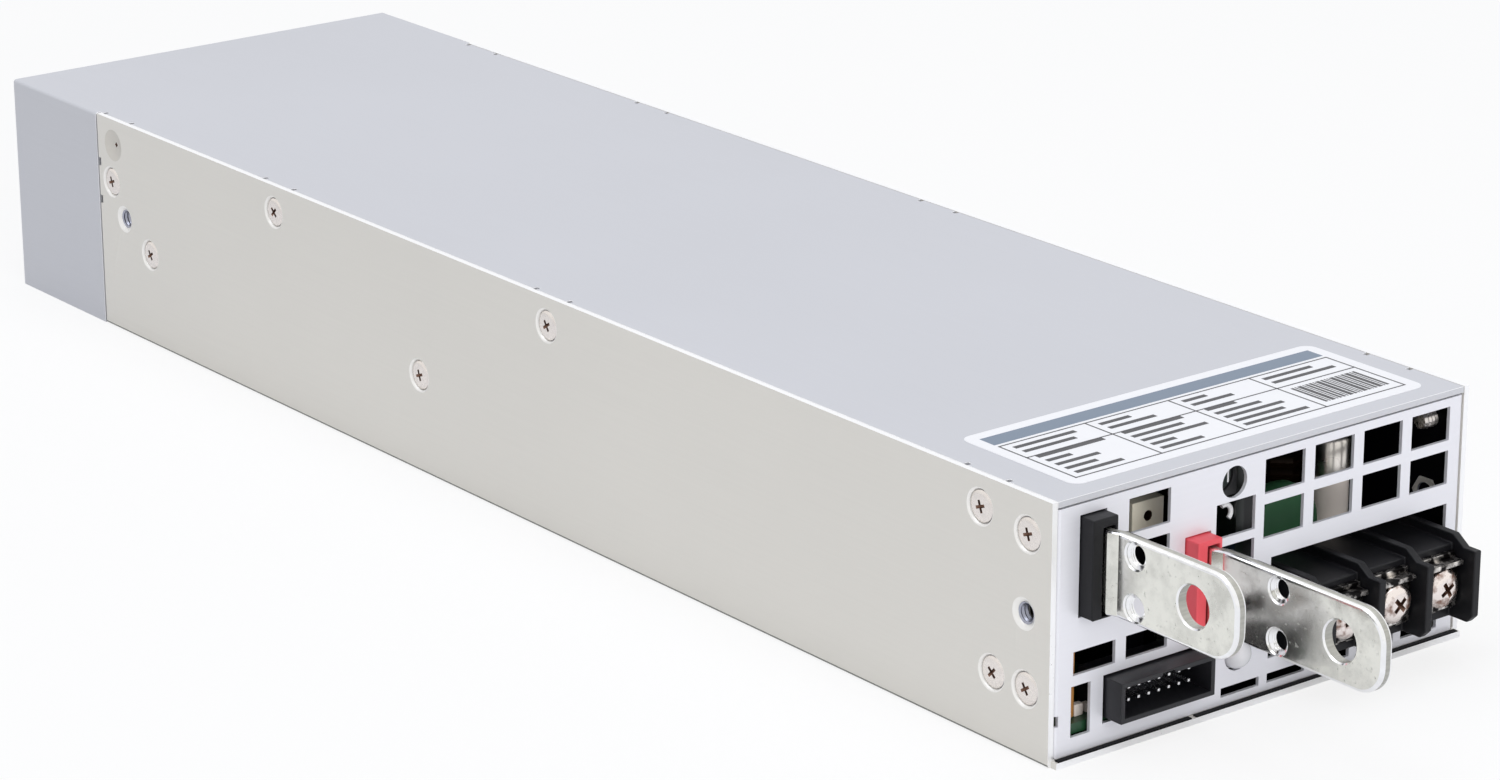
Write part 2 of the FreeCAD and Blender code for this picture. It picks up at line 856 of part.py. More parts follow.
def busbar(bar):
    """Flat bar on edge: joggled in plan, rounded at its end, with a foot on the board."""
    outside = across(bar["left"])
    inside = outside - bar_joggle
    end = behind(-bar["reach"])
    root = behind(bar_inside)
    plan = [(inside, root), (inside, behind(-bar_joggle_start)), (outside, behind(-bar_joggle_end)),
            (outside, end)]
    plan += [(x + bar_thickness, y) for x, y in reversed(plan)]
    bottom = bar["bottom"]
    top = bottom + bar_height
    strip = prism([Vector(x, y, board_top) for x, y in plan], Vector(0, 0, top - board_top))
    span = bar_thickness + bar_joggle
    blade = block(inside, inside + span, end, root, bottom, top)

    def end_corner(edge):
        return runs_along(edge, Vector(1, 0, 0)) and abs(edge.CenterOfMass.y - end) < 1e-6

    blade = rounded(blade, bar_corner_radius, end_corner)
    leg = block(inside, inside + span, root - bar_leg_width, root, board_top, bottom)
    solid = strip.common(blade.fuse(leg)).removeSplitter()
    middle = (bottom + top) / 2
    axis = Vector(1, 0, 0)
    bolt = Vector(outside, behind(-bar["bolt"]), middle)
    cuts = [Part.makeCylinder(bar_bolt_radius, bar_thickness, bolt, axis)]
    for level in (-1, 1):
        tap = Vector(outside, behind(-bar["taps"]), middle + level * bar_tap_spacing / 2)
        cuts.append(post(hole_flat_count, bar_tap_radius, bar_thickness, tap, axis))
    return solid.cut(cuts).Solids[0]


def insulator(bar):
    """Sleeve through the panel with a flange behind it and a slot for the bar."""
    x0, bottom, width, height = sleeve_outline(bar)
    body = block(x0, x0 + width, behind(-sleeve_reach), panel_back, bottom, bottom + height)
    f0, flange_bottom, flange_width, flange_height = grown(sleeve_outline(bar), sleeve_flange)
    flange = block(f0, f0 + flange_width, panel_back, panel_back + sleeve_flange_thickness,
                   flange_bottom, flange_bottom + flange_height)
    slot_x = x0 + sleeve_left_wall
    slot_z = bar["bottom"] - sleeve_end_gap
    slot = block(slot_x, slot_x + bar_thickness + 2 * sleeve_side_gap, behind(-sleeve_reach),
                 panel_back + sleeve_flange_thickness, slot_z,
                 slot_z + bar_height + 2 * sleeve_end_gap)
    return joined([body, flange]).cut(slot)


def pole_centres():
    first = block_x + barrier_thickness + pole_gap / 2
    return [first + pole * pole_pitch for pole in range(poles)]


def terminal_holes(gap, start, depth):
    """Room for the three screw shanks, from a plane towards the rear."""
    return [post(screw_flat_count, terminal_screw_radius + gap, depth,
                 Vector(x, start, terminal_screw_height), Vector(0, 1, 0)) for x in pole_centres()]


def terminal_block():
    """Moulded block through the panel, with a barrier either side of each pole."""
    x0 = block_x
    face = behind(-block_face)
    back = behind(block_inside)
    foot = behind(block_foot_start)
    between = block_top - block_ridge
    body = [(face, block_bottom), (foot, block_bottom), (foot, board_top), (back, board_top),
            (back, between), (face, between)]
    solids = [prism([Vector(x0, y, z) for y, z in body], Vector(block_width, 0, 0))]
    nose = behind(-barrier_reach)
    barrier = [(back, block_bottom), (nose + barrier_bevel, block_bottom),
               (nose, block_bottom + barrier_bevel), (nose, barrier_nose_top),
               (behind(-barrier_step_end), barrier_nose_top),
               (behind(-barrier_step_start), block_top), (back, block_top)]
    for index in range(poles + 1):
        left = x0 + index * pole_pitch
        solids.append(prism([Vector(left, y, z) for y, z in barrier],
                            Vector(barrier_thickness, 0, 0)))
    whole = joined(solids)
    return whole.cut(terminal_holes(terminal_bore_clearance, face, terminal_bore_depth))


def terminal_plates():
    """Tapped plate on the block's face at each pole."""
    half = pole_gap / 2 - terminal_plate_gap
    face = behind(-block_face)
    front = face - terminal_plate_thickness
    holes = terminal_holes(thread_clearance, front, terminal_plate_thickness)
    plates = []
    for x, hole in zip(pole_centres(), holes):
        plate = block(x - half, x + half, front, face, terminal_plate_bottom, terminal_plate_top)
        plates.append(plate.cut(hole))
    return Part.makeCompound(plates)


def clamp_washers():
    """Square washer under each screw head, its upper edge turned out."""
    half = washer_size / 2
    back = behind(-block_face) - terminal_plate_thickness
    front = back - washer_thickness
    top = terminal_screw_height + half
    outline = [(back, top - washer_size), (back, top), (front - washer_lip, top),
               (front - washer_lip, top - washer_thickness), (front, top - washer_thickness),
               (front, top - washer_size)]
    holes = terminal_holes(terminal_bore_clearance, front, washer_thickness)
    washers = []
    for x, hole in zip(pole_centres(), holes):
        washer = prism([Vector(x - half, y, z) for y, z in outline], Vector(washer_size, 0, 0))
        washers.append(washer.cut(hole))
    return Part.makeCompound(washers)


def terminal_screws():
    seat = behind(-block_face) - terminal_plate_thickness - washer_thickness
    return Part.makeCompound([pan_head(terminal_head_radius, terminal_screw_radius,
                                       terminal_head_height, terminal_screw_length,
                                       Vector(x, seat, terminal_screw_height), Vector(0, -1, 0))
                              for x in pole_centres()])


def header_shroud():
    """Open box on the board, with a key slot along its upper wall."""
    x0 = across(header_left)
    front = behind(-header_reach)
    top = board_top + header_height
    shell = block(x0, x0 + header_width, front, behind(header_inside), board_top, top)
    cavity = block(x0 + header_wall, x0 + header_width - header_wall, front,
                   front + header_cavity_depth, board_top + header_wall, top - header_wall)
    middle = x0 + header_width / 2
    key = block(middle - header_key_width / 2, middle + header_key_width / 2, front,
                front + header_cavity_depth, top - header_wall, top - header_wall + header_key_depth)
    return shell.cut([cavity, key])


def header_pins():
    """Two rows of square pins standing on the shroud's floor."""
    middle = across(header_left) + header_width / 2
    floor = behind(-header_reach) + header_cavity_depth
    half = pin_size / 2
    pins = []
    for row in range(pin_rows):
        z = board_top + pin_low_row_height + row * pin_pitch
        for column in range(pin_columns):
            x = middle + (column - (pin_columns - 1) / 2) * pin_pitch
            pins.append(block(x - half, x + half, behind(-pin_tip_reach), floor, z - half, z + half))
    return Part.makeCompound(pins)


def led_holder():
    """Block on the board that carries the lamp."""
    x = across(lamp_place[0])
    top = lamp_place[1] + lamp_radius + lamp_flange
    back = panel_back + board_front_margin
    holder = block(x - holder_width / 2, x + holder_width / 2, back, back + holder_depth,
                   board_top, top)
    seat = post(can_flat_count, lamp_radius + lamp_flange, lamp_flange_thickness,
                Vector(x, back, lamp_place[1]), Vector(0, 1, 0))
    return holder.cut(seat)


def status_led():
    """Clear lamp: flanged barrel with a rounded end in front of the panel."""
    back = panel_back + board_front_margin + lamp_flange_thickness
    length = back - behind(-lamp_reach)
    steps = [(0, lamp_radius), (length - lamp_radius, lamp_radius)]
    for angle in lamp_dome_angles:
        turn = math.radians(angle)
        steps.append((length - lamp_radius * (1 - math.sin(turn)), lamp_radius * math.cos(turn)))
    barrel = skinned([ring(can_flat_count, radius, height) for height, radius in steps])
    flange = post(can_flat_count, lamp_radius + lamp_flange, lamp_flange_thickness, Vector(0, 0, 0))
    centre = Vector(across(lamp_place[0]), back, lamp_place[1])
    return set_on(joined([barrel, flange]), centre, Vector(0, -1, 0))


def trimmer_body():
    """Square body with a round seat for the rotor in its front."""
    x, z = across(trimmer_place[0]), trimmer_place[1]
    front = behind(trimmer_station)
    half = trimmer_size / 2
    body = block(x - half, x + half, front, front + trimmer_depth, z - half, z + half)
    seat = post(hole_flat_count, trimmer_rotor_radius + trimmer_gap, trimmer_rotor_thickness + trimmer_gap,
                Vector(x, front, z), Vector(0, 1, 0))
    return body.cut(seat)


def trimmer_rotor():
    x, z = across(trimmer_place[0]), trimmer_place[1]
    front = behind(trimmer_station)
    disc = post(hole_flat_count, trimmer_rotor_radius, trimmer_rotor_thickness,
                Vector(x, front, z), Vector(0, 1, 0))
    slot = block(x - trimmer_slot_width / 2, x + trimmer_slot_width / 2, front,
                 front + trimmer_slot_depth, z - trimmer_rotor_radius, z + trimmer_rotor_radius)
    return disc.cut(slot)


def control_board():
    """Upright board beside the trimmer, notched over the lamp's holder."""
    x0 = across(trimmer_place[0]) + trimmer_size / 2
    front = behind(trimmer_station)
    board = block(x0, x0 + board_thickness, front, front + control_board_length,
                  board_top, control_board_top)
    length, height = control_board_notch
    return board.cut(block(x0, x0 + board_thickness, front, front + length,
                           board_top, board_top + height))


def inrush_thermistor():
    """Disc on two leads."""
    x, y = across(thermistor_place[0]), behind(thermistor_place[1])
    radius = share * thermistor_radius
    z = board_top + thermistor_lift + radius
    disc = post(hub_flat_count, radius, thermistor_thickness,
                Vector(x, y - thermistor_thickness / 2, z), Vector(0, 1, 0))
    leads = [block(x + side * radius / 2 - thermistor_lead,
                   x + side * radius / 2 + thermistor_lead,
                   y - thermistor_lead, y + thermistor_lead, board_top, z) for side in (-1, 1)]
    return joined([disc] + leads)


def fuse_ends():
    foot = board_top + fuse_lift
    return foot, foot + fuse_length


def fuse_tube():
    foot, top = fuse_ends()
    base = Vector(across(fuse_place[0]), behind(fuse_place[1]), foot + fuse_cap_length)
    return post(can_flat_count, fuse_radius, fuse_length - 2 * fuse_cap_length, base)


def fuse_caps():
    """Metal cap at each end; the lower one stands on its lead."""
    foot, top = fuse_ends()
    x, y = across(fuse_place[0]), behind(fuse_place[1])
    lower = post(can_flat_count, fuse_cap_radius, fuse_cap_length, Vector(x, y, foot))
    lead = post(nut_flat_count, fuse_lead, fuse_lift, Vector(x, y, board_top))
    upper = post(can_flat_count, fuse_cap_radius, fuse_cap_length, Vector(x, y, top - fuse_cap_length))
    return Part.makeCompound([joined([lower, lead]), upper])


def wound_core(centre, size):
    """Ferrite frame with a middle leg, standing on the board."""
    x, y = centre
    width, depth, height, leg = share * size[0], size[1], size[2], share * size[3]
    core = block(x - width / 2, x + width / 2, y - depth / 2, y + depth / 2,
                 board_top, board_top + height)
    for side in (-1, 1):
        near = side * leg
        far = side * (width / 2 - leg)
        core = core.cut(block(x + min(near, far), x + max(near, far), y - depth / 2, y + depth / 2,
                              board_top + leg, board_top + height - leg))
    return core


def wound_coil(centre, size):
    """Winding round the middle leg, standing out before and behind the core."""
    x, y = centre
    width, depth, height, leg = share * size[0], size[1], size[2], share * size[3]
    half = width / 2 - leg - coil_gap
    reach = depth / 2 + coil_overhang
    low = board_top + leg + coil_gap
    high = board_top + height - leg - coil_gap
    coil = bevelled(block(x - half, x + half, y - reach, y + reach, low, high), coil_corner)
    bore = block(x - leg - coil_gap, x + leg + coil_gap,
                 y - depth / 2 - coil_gap, y + depth / 2 + coil_gap, low, high)
    return coil.cut(bore)


def wound_parts():
    """Centre and size of each wound part."""
    def place(spot):
        return across(spot[0]), behind(spot[1])
    boost = (across(boost_choke_left), behind(boost_choke_station))
    return {"filter_choke": (place(filter_choke_place), filter_choke_size),
            "output_choke": (place(output_choke_place), output_choke_size),
            "transformer": (place(transformer_place), transformer_size),
            "boost_choke": (boost, boost_choke_size)}


def boxed(place, size):
    x0, y0 = across(place[0]), behind(place[1])
    return block(x0, x0 + share * size[0], y0, y0 + size[1], board_top, board_top + size[2])


def film_capacitor():
    return bevelled(boxed(film_capacitor_place, film_capacitor_size), box_corner)


def line_relay():
    return bevelled(boxed(relay_place, relay_size), box_corner)


def package(x, y, size):
    """Flat power package on a row of leads, facing across the case."""
    thick, long, tall = size
    foot = board_top + package_lift
    body = block(x, x + thick, y - long / 2, y + long / 2, foot, foot + tall)
    middle = x + thick / 2
    leads = block(middle - lead_size / 2, middle + lead_size / 2,
                  y - long / 2 + lead_inset, y + long / 2 - lead_inset, board_top, foot)
    return joined([body, leads])


def bridge_rectifier():
    x, y = across(bridge_place[0]), behind(bridge_place[1])
    return package(x, y + bridge_size[1] / 2, bridge_size)


def bulk_capacitors():
    """Row of cans that fills the length up to the boost choke."""
    last = boost_choke_station - bulk_from_boost_choke
    count = int((last - bulk_first_station) / bulk_pitch) + 1
    cans = []
    for index in range(count):
        y = behind(bulk_first_station + index * bulk_pitch)
        cans.append(post(can_flat_count, bulk_radius, bulk_height, Vector(across(bulk_column), y, board_top)))
    return Part.makeCompound(cans)


def output_capacitors():
    cans = []
    for index in range(output_capacitor_count):
        y = behind(output_capacitor_first_station + index * output_capacitor_pitch)
        spot = Vector(across(output_capacitor_column), y, board_top)
        cans.append(post(can_flat_count, output_capacitor_radius, output_capacitor_height, spot))
    return Part.makeCompound(cans)


def wall_heatsink():
    """Finned bar against the left wall, with a tapped hole at each side screw."""
    first = behind(heatsink_stations[0] - wall_sink_end)
    length = heatsink_stations[1] - heatsink_stations[0] + 2 * wall_sink_end
    base = block(-inner_x, -inner_x + wall_sink_base, first, first + length,
                 wall_sink_bottom, wall_sink_top)
    pitch = (wall_sink_top - wall_sink_bottom - wall_sink_fin) / (wall_sink_fins - 1)
    fins = []
    for index in range(wall_sink_fins):
        low = wall_sink_bottom + index * pitch
        fins.append(block(-inner_x, -inner_x + wall_sink_reach, first,
                          first + length, low, low + wall_sink_fin))
    sink = joined([base] + fins)
    return sink.cut(screws_at(heatsink_screw_places(), screw_clearance))


def output_heatsink():
    """Bar with a thick head, standing on the board behind the panel."""
    x0 = across(output_sink_left)
    y0 = behind(output_sink_station)
    neck = output_sink_top - output_sink_head_height
    outline = [(x0, board_top), (x0 + output_sink_web, board_top), (x0 + output_sink_web, neck),
               (x0 + output_sink_head_width, neck), (x0 + output_sink_head_width, output_sink_top),
               (x0, output_sink_top)]
    sink = prism([Vector(x, y0, z) for x, z in outline], Vector(0, output_sink_length, 0))
    spot = Vector(x0 + output_sink_head_width / 2, y0, output_sink_top - output_sink_head_height / 2)
    hole = post(can_flat_count, output_sink_hole_radius, output_sink_hole_depth, spot, Vector(0, 1, 0))
    return sink.cut(hole)


def output_rectifiers():
    """Packages flat against the output heat sink's web."""
    x = across(output_sink_left) + output_sink_web
    first = output_sink_station + package_pitch
    return Part.makeCompound([package(x, behind(first + index * package_pitch), package_size)
                              for index in range(package_count)])


def power_transistors():
    """Packages against the ends of the left wall heat sink's fins."""
    x = -inner_x + wall_sink_reach
    first = heatsink_stations[0] + package_pitch / 2
    return Part.makeCompound([package(x, behind(first + index * package_pitch), package_size)
                              for index in range(package_count)])


def fan_frame(x, z):
    """Square frame with a round bore, and a motor base on struts at its inner end."""
    rear = rear_y - sheet
    front = rear - fan_depth
    half = fan_size / 2
    axis = Vector(0, 1, 0)
    centre = Vector(x, front, z)
    frame = bevelled(block(x - half, x + half, front, rear, z - half, z + half),
                     fan_corner, lengthwise_edges)
    frame = frame.cut(post(bore_flat_count, fan_bore_radius, fan_depth, centre, axis))
    seat = fan_bearing_radius + fan_seat_fit
    pieces = [frame, post(hub_flat_count, fan_base_radius, fan_base_thickness, centre, axis),
              post(head_flat_count, seat + fan_tube_wall, fan_tube_length, centre, axis)]
    for turn in range(fan_struts):
        strut = block(x, x + fan_bore_radius + fan_strut_width, front, front + fan_base_thickness,
                      z - fan_strut_width / 2, z + fan_strut_width / 2)
        strut.rotate(centre, axis, 360 / fan_struts * (turn + 0.5))
        pieces.append(strut)
    floor = Vector(x, front + fan_base_thickness, z)
    cuts = [post(head_flat_count, seat, fan_tube_length, floor, axis)]
    for side in (-1, 1):
        corner = Vector(x + side * fan_hole_offset, rear, z + side * fan_hole_offset)
        cuts.append(post(screw_flat_count, fan_hole_radius, fan_hole_depth, corner, Vector(0, -1, 0)))
    return joined(pieces).cut(cuts)


def fan_bearing(x, z):
    """Sleeve in the motor base's tube."""
    floor = Vector(x, rear_y - sheet - fan_depth + fan_base_thickness, z)
    axis = Vector(0, 1, 0)
    length = fan_tube_length - fan_base_thickness
    sleeve = post(head_flat_count, fan_bearing_radius, length, floor, axis)
    return sleeve.cut(Part.makeCylinder(fan_shaft_radius + fan_shaft_fit, length, floor, axis))


def fan_stator(x, z):
    """Iron and coil stack round the bearing tube, on the motor base."""
    floor = Vector(x, rear_y - sheet - fan_depth + fan_base_thickness, z)
    axis = Vector(0, 1, 0)
    stack = post(screw_flat_count, fan_stator_radius, fan_stator_length, floor, axis)
    room = fan_bearing_radius + 2 * fan_seat_fit + fan_tube_wall
    return stack.cut(post(head_flat_count, room, fan_stator_length, floor, axis))


def blade_section(radius, chord, lean):
    """Thin bent outline at a distance from the axis, leaning from the axis's direction."""
    turn = math.radians(lean)
    half = fan_blade_thickness / 2
    outline = [(-chord / 2, -half), (0, fan_blade_camber - half), (chord / 2, -half),
               (chord / 2, half), (0, fan_blade_camber + half), (-chord / 2, half)]
    return [Vector(radius, along * math.cos(turn) - side * math.sin(turn),
                   along * math.sin(turn) + side * math.cos(turn)) for along, side in outline]


def fan_blade():
    """One twisted blade from the hub's wall to the tip, along X."""
    lean = math.radians(fan_blade_tip_angle)
    sideways = fan_blade_tip_chord / 2 * math.sin(lean) + fan_blade_camber
    tip = math.sqrt((fan_bore_radius - fan_tip_gap) ** 2 - sideways ** 2)
    root = fan_hub_radius - fan_blade_root_sink
    return skinned([blade_section(root, fan_blade_root_chord, fan_blade_root_angle),
                    blade_section(tip, fan_blade_tip_chord, fan_blade_tip_angle)])


def fan_rotor(x, z):
    """Hub cup with its shaft and twisted blades."""
    front = rear_y - sheet - fan_depth + fan_base_thickness + fan_running_gap
    axis = Vector(0, 1, 0)
    start = Vector(x, front, z)
    cup = post(hub_flat_count, fan_hub_radius, fan_hub_length, start, axis)
    well = post(hub_flat_count, fan_hub_radius - fan_hub_wall, fan_hub_length - fan_hub_wall, start, axis)
    shaft = Part.makeCylinder(fan_shaft_radius, fan_hub_length, start, axis)
    pieces = [cup.cut(well), shaft]
    for turn in range(fan_blades):
        blade = fan_blade()
        blade.rotate(Vector(0, 0, 0), axis, 360 / fan_blades * turn)
        blade.translate(Vector(x, front + fan_hub_length / 2, z))
        pieces.append(blade)
    return joined(pieces)


def fan_nodes():
    nodes = {}
    for side, (x, z) in fan_centres().items():
        nodes["fan_frame_" + side] = fan_frame(x, z)
        nodes["fan_bearing_" + side] = fan_bearing(x, z)
        nodes["fan_stator_" + side] = fan_stator(x, z)
        nodes["fan_rotor_" + side] = fan_rotor(x, z)
    return nodes


def wound_nodes():
    nodes = {}
    for name, (centre, size) in wound_parts().items():
        nodes[name + "_core"] = wound_core(centre, size)
        nodes[name + "_coil"] = wound_coil(centre, size)
    return nodes


def all_nodes():
    left_sink = wall_heatsink()
    nodes = {
        "chassis_tray": chassis_tray(),
        "top_cover": top_cover(),
        "front_panel": front_panel(),
        "fan_panel": fan_panel(),
        "rating_label": rating_label(),
        "panel_screws": Part.makeCompound(screws_at(panel_screw_places)),
        "cover_screws": Part.makeCompound(screws_at(cover_screw_places())),
        "heatsink_screws": Part.makeCompound(screws_at(heatsink_screw_places())),
        "fan_panel_screws": Part.makeCompound(screws_at(fan_panel_screw_places())),
        "fan_screws": Part.makeCompound(fan_screw_shapes()),
        "insulating_film": insulating_film(),
        "main_board": main_board(),
        "board_standoffs": board_standoffs(),
        "board_screws": board_screws(),
        "negative_busbar": busbar(negative_bar),
        "positive_busbar": busbar(positive_bar),
        "negative_insulator": insulator(negative_bar),
        "positive_insulator": insulator(positive_bar),
        "terminal_block": terminal_block(),
        "terminal_plates": terminal_plates(),
        "clamp_washers": clamp_washers(),
        "terminal_screws": terminal_screws(),
        "header_shroud": header_shroud(),
        "header_pins": header_pins(),
        "led_holder": led_holder(),
        "status_led": status_led(),
        "trimmer_body": trimmer_body(),
        "trimmer_rotor": trimmer_rotor(),
        "control_board": control_board(),
        "inrush_thermistor": inrush_thermistor(),
        "fuse_tube": fuse_tube(),
        "fuse_caps": fuse_caps(),
        "film_capacitor": film_capacitor(),
        "line_relay": line_relay(),
        "bridge_rectifier": bridge_rectifier(),
        "bulk_capacitors": bulk_capacitors(),
        "output_capacitors": output_capacitors(),
        "primary_heatsink": left_sink,
        "rectifier_heatsink": mirrored(left_sink),
        "power_transistors": power_transistors(),
        "output_heatsink": output_heatsink(),
        "output_rectifiers": output_rectifiers(),
    }
    nodes.update(wound_nodes())
    nodes.update(fan_nodes())
    return nodes


os.makedirs("parts", exist_ok=True)
for name, shape in all_nodes().items():
    shape.exportStep(os.path.join("parts", name + ".step"))
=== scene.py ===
import functools
import json
import math

import bmesh
import bpy
from mathutils import Matrix, Vector


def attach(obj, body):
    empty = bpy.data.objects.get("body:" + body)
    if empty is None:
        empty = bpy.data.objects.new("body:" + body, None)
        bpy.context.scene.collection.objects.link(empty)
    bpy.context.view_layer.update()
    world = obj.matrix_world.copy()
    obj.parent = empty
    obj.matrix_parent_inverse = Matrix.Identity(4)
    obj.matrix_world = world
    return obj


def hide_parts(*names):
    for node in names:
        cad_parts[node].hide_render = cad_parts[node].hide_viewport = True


bl_info = {
    "name": "Switching power supply looks",
    "version": (1, 0, 0),
    "blender": (4, 5, 0),
    "location": "View3D > Sidebar > Power supply",
    "description": "Dresses the solids of an enclosed switching power supply with two fans",
    "category": "Object",
}

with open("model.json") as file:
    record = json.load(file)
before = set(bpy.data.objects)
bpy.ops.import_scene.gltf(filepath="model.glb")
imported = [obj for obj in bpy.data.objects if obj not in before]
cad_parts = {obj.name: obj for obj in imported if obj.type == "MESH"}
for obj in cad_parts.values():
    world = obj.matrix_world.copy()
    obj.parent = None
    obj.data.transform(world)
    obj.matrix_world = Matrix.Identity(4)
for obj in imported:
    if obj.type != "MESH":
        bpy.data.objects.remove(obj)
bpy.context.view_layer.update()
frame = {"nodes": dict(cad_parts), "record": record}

MM = 0.001
LEFT, RIGHT = Vector((-1, 0, 0)), Vector((1, 0, 0))
FRONT, BACK = Vector((0, -1, 0)), Vector((0, 1, 0))
UP = Vector((0, 0, 1))

# Side screws as (distance behind the front, height), by the solids that they stand for
SIDE_SCREWS = {
    "panel_screws": ((5.3, 34.8), (5.3, 10.8), (12.7, 11.0)),
    "cover_screws": ((15.8, 36.0), (124.3, 36.0), (207.3, 36.0), (263.0, 36.0)),
    "heatsink_screws": ((162.2, 17.5), (251.2, 17.5)),
    "fan_panel_screws": ((264.2, 28.7),),
}
DIMPLE = (263.0, 36.0)  # the cover screw that sits deep in a pressed dimple
SIDE_TAPS = ((5.8, 22.4), (260.0, 22.4))
SHANK_RADIUS, SHANK_END = 1.45, -5.0

# Driver's crosses as (width, blade, depth, top above the seat): flush screws, pressed dimples, pole screws
SCREW_CROSS, DIMPLE_CROSS, POLE_CROSS = (3.5, 0.62, 0.6, 0.0), (1.7, 0.45, 0.4, -0.7), (4.2, 0.85, 1.1, 1.88)

# Case: half its width, its front, rear and top faces, and the panel's top edge just below the cover
HALF_WIDTH, FRONT_Y, REAR_Y, CASE_TOP, PANEL_TOP = 42.5, -150.0, 150.0, 41.0, 39.72

# Notches in the panel's folds: reach across from the middle, along from the front, and heights
NOTCH_ACROSS, NOTCH_ALONG, NOTCH_HEIGHTS = (40.6, 41.5), (0.3, 2.4), (6.05, 7.75)

# Bus bars: outer face across, bolt hole's and small holes' distance along, and the bar's middle height
BARS = {"negative_busbar": (-34.1, -170.5, -158.4, 29.5), "positive_busbar": (-13.3, -179.1, -166.55, 21.8)}
BAR_SHEET, BAR_HEIGHT, BAR_CORNER = 2.0, 13.0, 5.0
JOGGLE, JOGGLE_STEP = (-154.9, -153.2), 0.7
BOLT_RADIUS, TAP_RADIUS, TAP_RISE = 3.2, 2.03, 4.0

# Places on the front: poles across, their seats, the lamp's foot and the trimmer's foot
POLES = (9.875, 20.075, 30.275)
POLE_SEAT, POLE_HEIGHT = -157.2, 12.95
LAMP = Vector((-4.9, -147.8, 8.6))
TRIMMER = Vector((-6.65, -145.8, 36.25))

# Label: corners of the film and the margin of its print
LABEL_LOW, LABEL_HIGH, LABEL_MARGIN = (-35.0, -146.3), (37.0, -120.5), 2.2

# Fans: centres across, height of the shafts, reach of the corner screws, rear face of the hubs
FANS = {"left": -20.0, "right": 20.0}
FAN_HEIGHT, FAN_REACH, HUB_BACK = 20.5, 16.0, 144.7

# Behind the vents: the board's top, the middles of the fuse, thermistor, sleeved lead and blue disc, the output
# heat sink's screw hole, the height up to which tape covers that sink, and chips as (left, front, extra height)
BOARD_TOP = 5.2
FUSE, THERMISTOR = (26.7, -136.6, 0.0), (15.1, -137.4, 20.8)
LEAD, BLUE_DISC = (-4.9, -146.2, 29.9), (-6.3, -143.6, 20.6)
SINK_HOLE, TAPE_TOP = (-17.35, 31.4), 27.0
CHIPS = ((-37.6, -147.6, 0.0), (-34.9, -147.2, 0.7), (-32.4, -146.9, 0.2), (-37.2, -144.6, 1.6))

# Stage: strength of the world's light on the object, the floor's reach in metres and its glow for the camera
WORLD_LIGHT, FLOOR_REACH, FLOOR_GLOW = 0.45, 6.0, 0.8

# Lamps as (name, place in metres, side in metres, power in watts, tint)
LAMPS = (("key", (-0.2, 0.1, 1.5), 1.6, 15.0, "F1F5FF"), ("front", (-0.3, -1.3, 0.5), 1.0, 9.2, "FFFFFF"))

# Camera fitted to the case's corners: lens and sensor in millimetres, place in metres, turn in degrees
LENS, SENSOR = 108.948, 36.0
EYE, EYE_TURN = (-0.44826, -0.60235, 0.26437), (71.2189, 0.164, -37.8892)


def linear(code):
    """Linear colour of an sRGB hex value."""
    channels = [int(code[i:i + 2], 16) / 255 for i in (0, 2, 4)]
    return tuple(c / 12.92 if c <= 0.04045 else ((c + 0.055) / 1.055) ** 2.4 for c in channels) + (1.0,)


def colour(code, name, description):
    """Colour property with an sRGB hex value as its default."""
    return bpy.props.FloatVectorProperty(name=name, description=description, subtype="COLOR", size=4,
                                         min=0.0, max=1.0, default=linear(code))


def length(size, name, description):
    """Length property with millimetres as its default."""
    return bpy.props.FloatProperty(name=name, description=description, unit="LENGTH", min=0.0,
                                   precision=5, default=size * MM)


class SupplyColours(bpy.types.PropertyGroup):
    """Colours of the finishes."""
    wall: colour("DFDCD5", "Wall sheet", "Warm zinc-plated sheet of the tray")
    cover: colour("C8C9CE", "Cover sheet", "Cool satin sheet of the cover")
    panel: colour("E4E4EA", "Panel sheet", "Bright sheet of the front panel")
    screw: colour("EAE3DD", "Screws", "Nickel-plated steel")
    bar: colour("F0EFE6", "Bus bars", "Tin-plated copper")
    black: colour("111114", "Black plastic", "Moulded terminal block, insulator and fans")
    header: colour("17171B", "Header plastic", "Moulded control header")
    red: colour("DC4E58", "Red plastic", "Moulded insulator of the positive bar")
    label: colour("F2F2F4", "Label film", "White polyester film")
    ink: colour("2B2B30", "Label ink", "Printed rules and bars")
    band: colour("6F7F92", "Label band", "Printed colour field")
    board: colour("1F432B", "Boards", "Solder resist over glass laminate")


class SupplySizes(bpy.types.PropertyGroup):
    """Sizes of the edges and small parts."""
    sheet_edge: length(0.18, "Sheet edge", "Rounding of punched sheet edges")
    fold: length(0.8, "Fold radius", "Outer radius of the tray's folds")
    bar_edge: length(0.55, "Bar edge", "Rounding of the bus bars' edges")
    moulded_edge: length(0.25, "Moulded edge", "Rounding of moulded plastic edges")
    dish: length(3.0, "Dish radius", "Radius of the dish pressed round each flush screw")
    tap_dish: length(2.55, "Tap dish radius", "Radius of the dish round each mounting hole")
    head: length(2.5, "Flush head radius", "Radius of the flush screws' heads")
    label_corner: length(2.0, "Label corner", "Corner radius of the label")


def mm(size):
    """A length of the sizes group in millimetres."""
    return getattr(bpy.context.scene.supply_sizes, size) / MM


# Mesh helpers: every shape is made in millimetres and scaled to metres when it is finished

def cad_copy(node):
    """Merged copy of a solid's mesh, its flat faces whole again."""
    bm = bmesh.new()
    bm.from_mesh(frame["nodes"][node].data)
    bmesh.ops.scale(bm, vec=(1 / MM,) * 3, verts=bm.verts)
    bmesh.ops.remove_doubles(bm, verts=bm.verts, dist=0.002)
    bmesh.ops.dissolve_limit(bm, angle_limit=math.radians(0.5), verts=bm.verts, edges=bm.edges)
    return bm


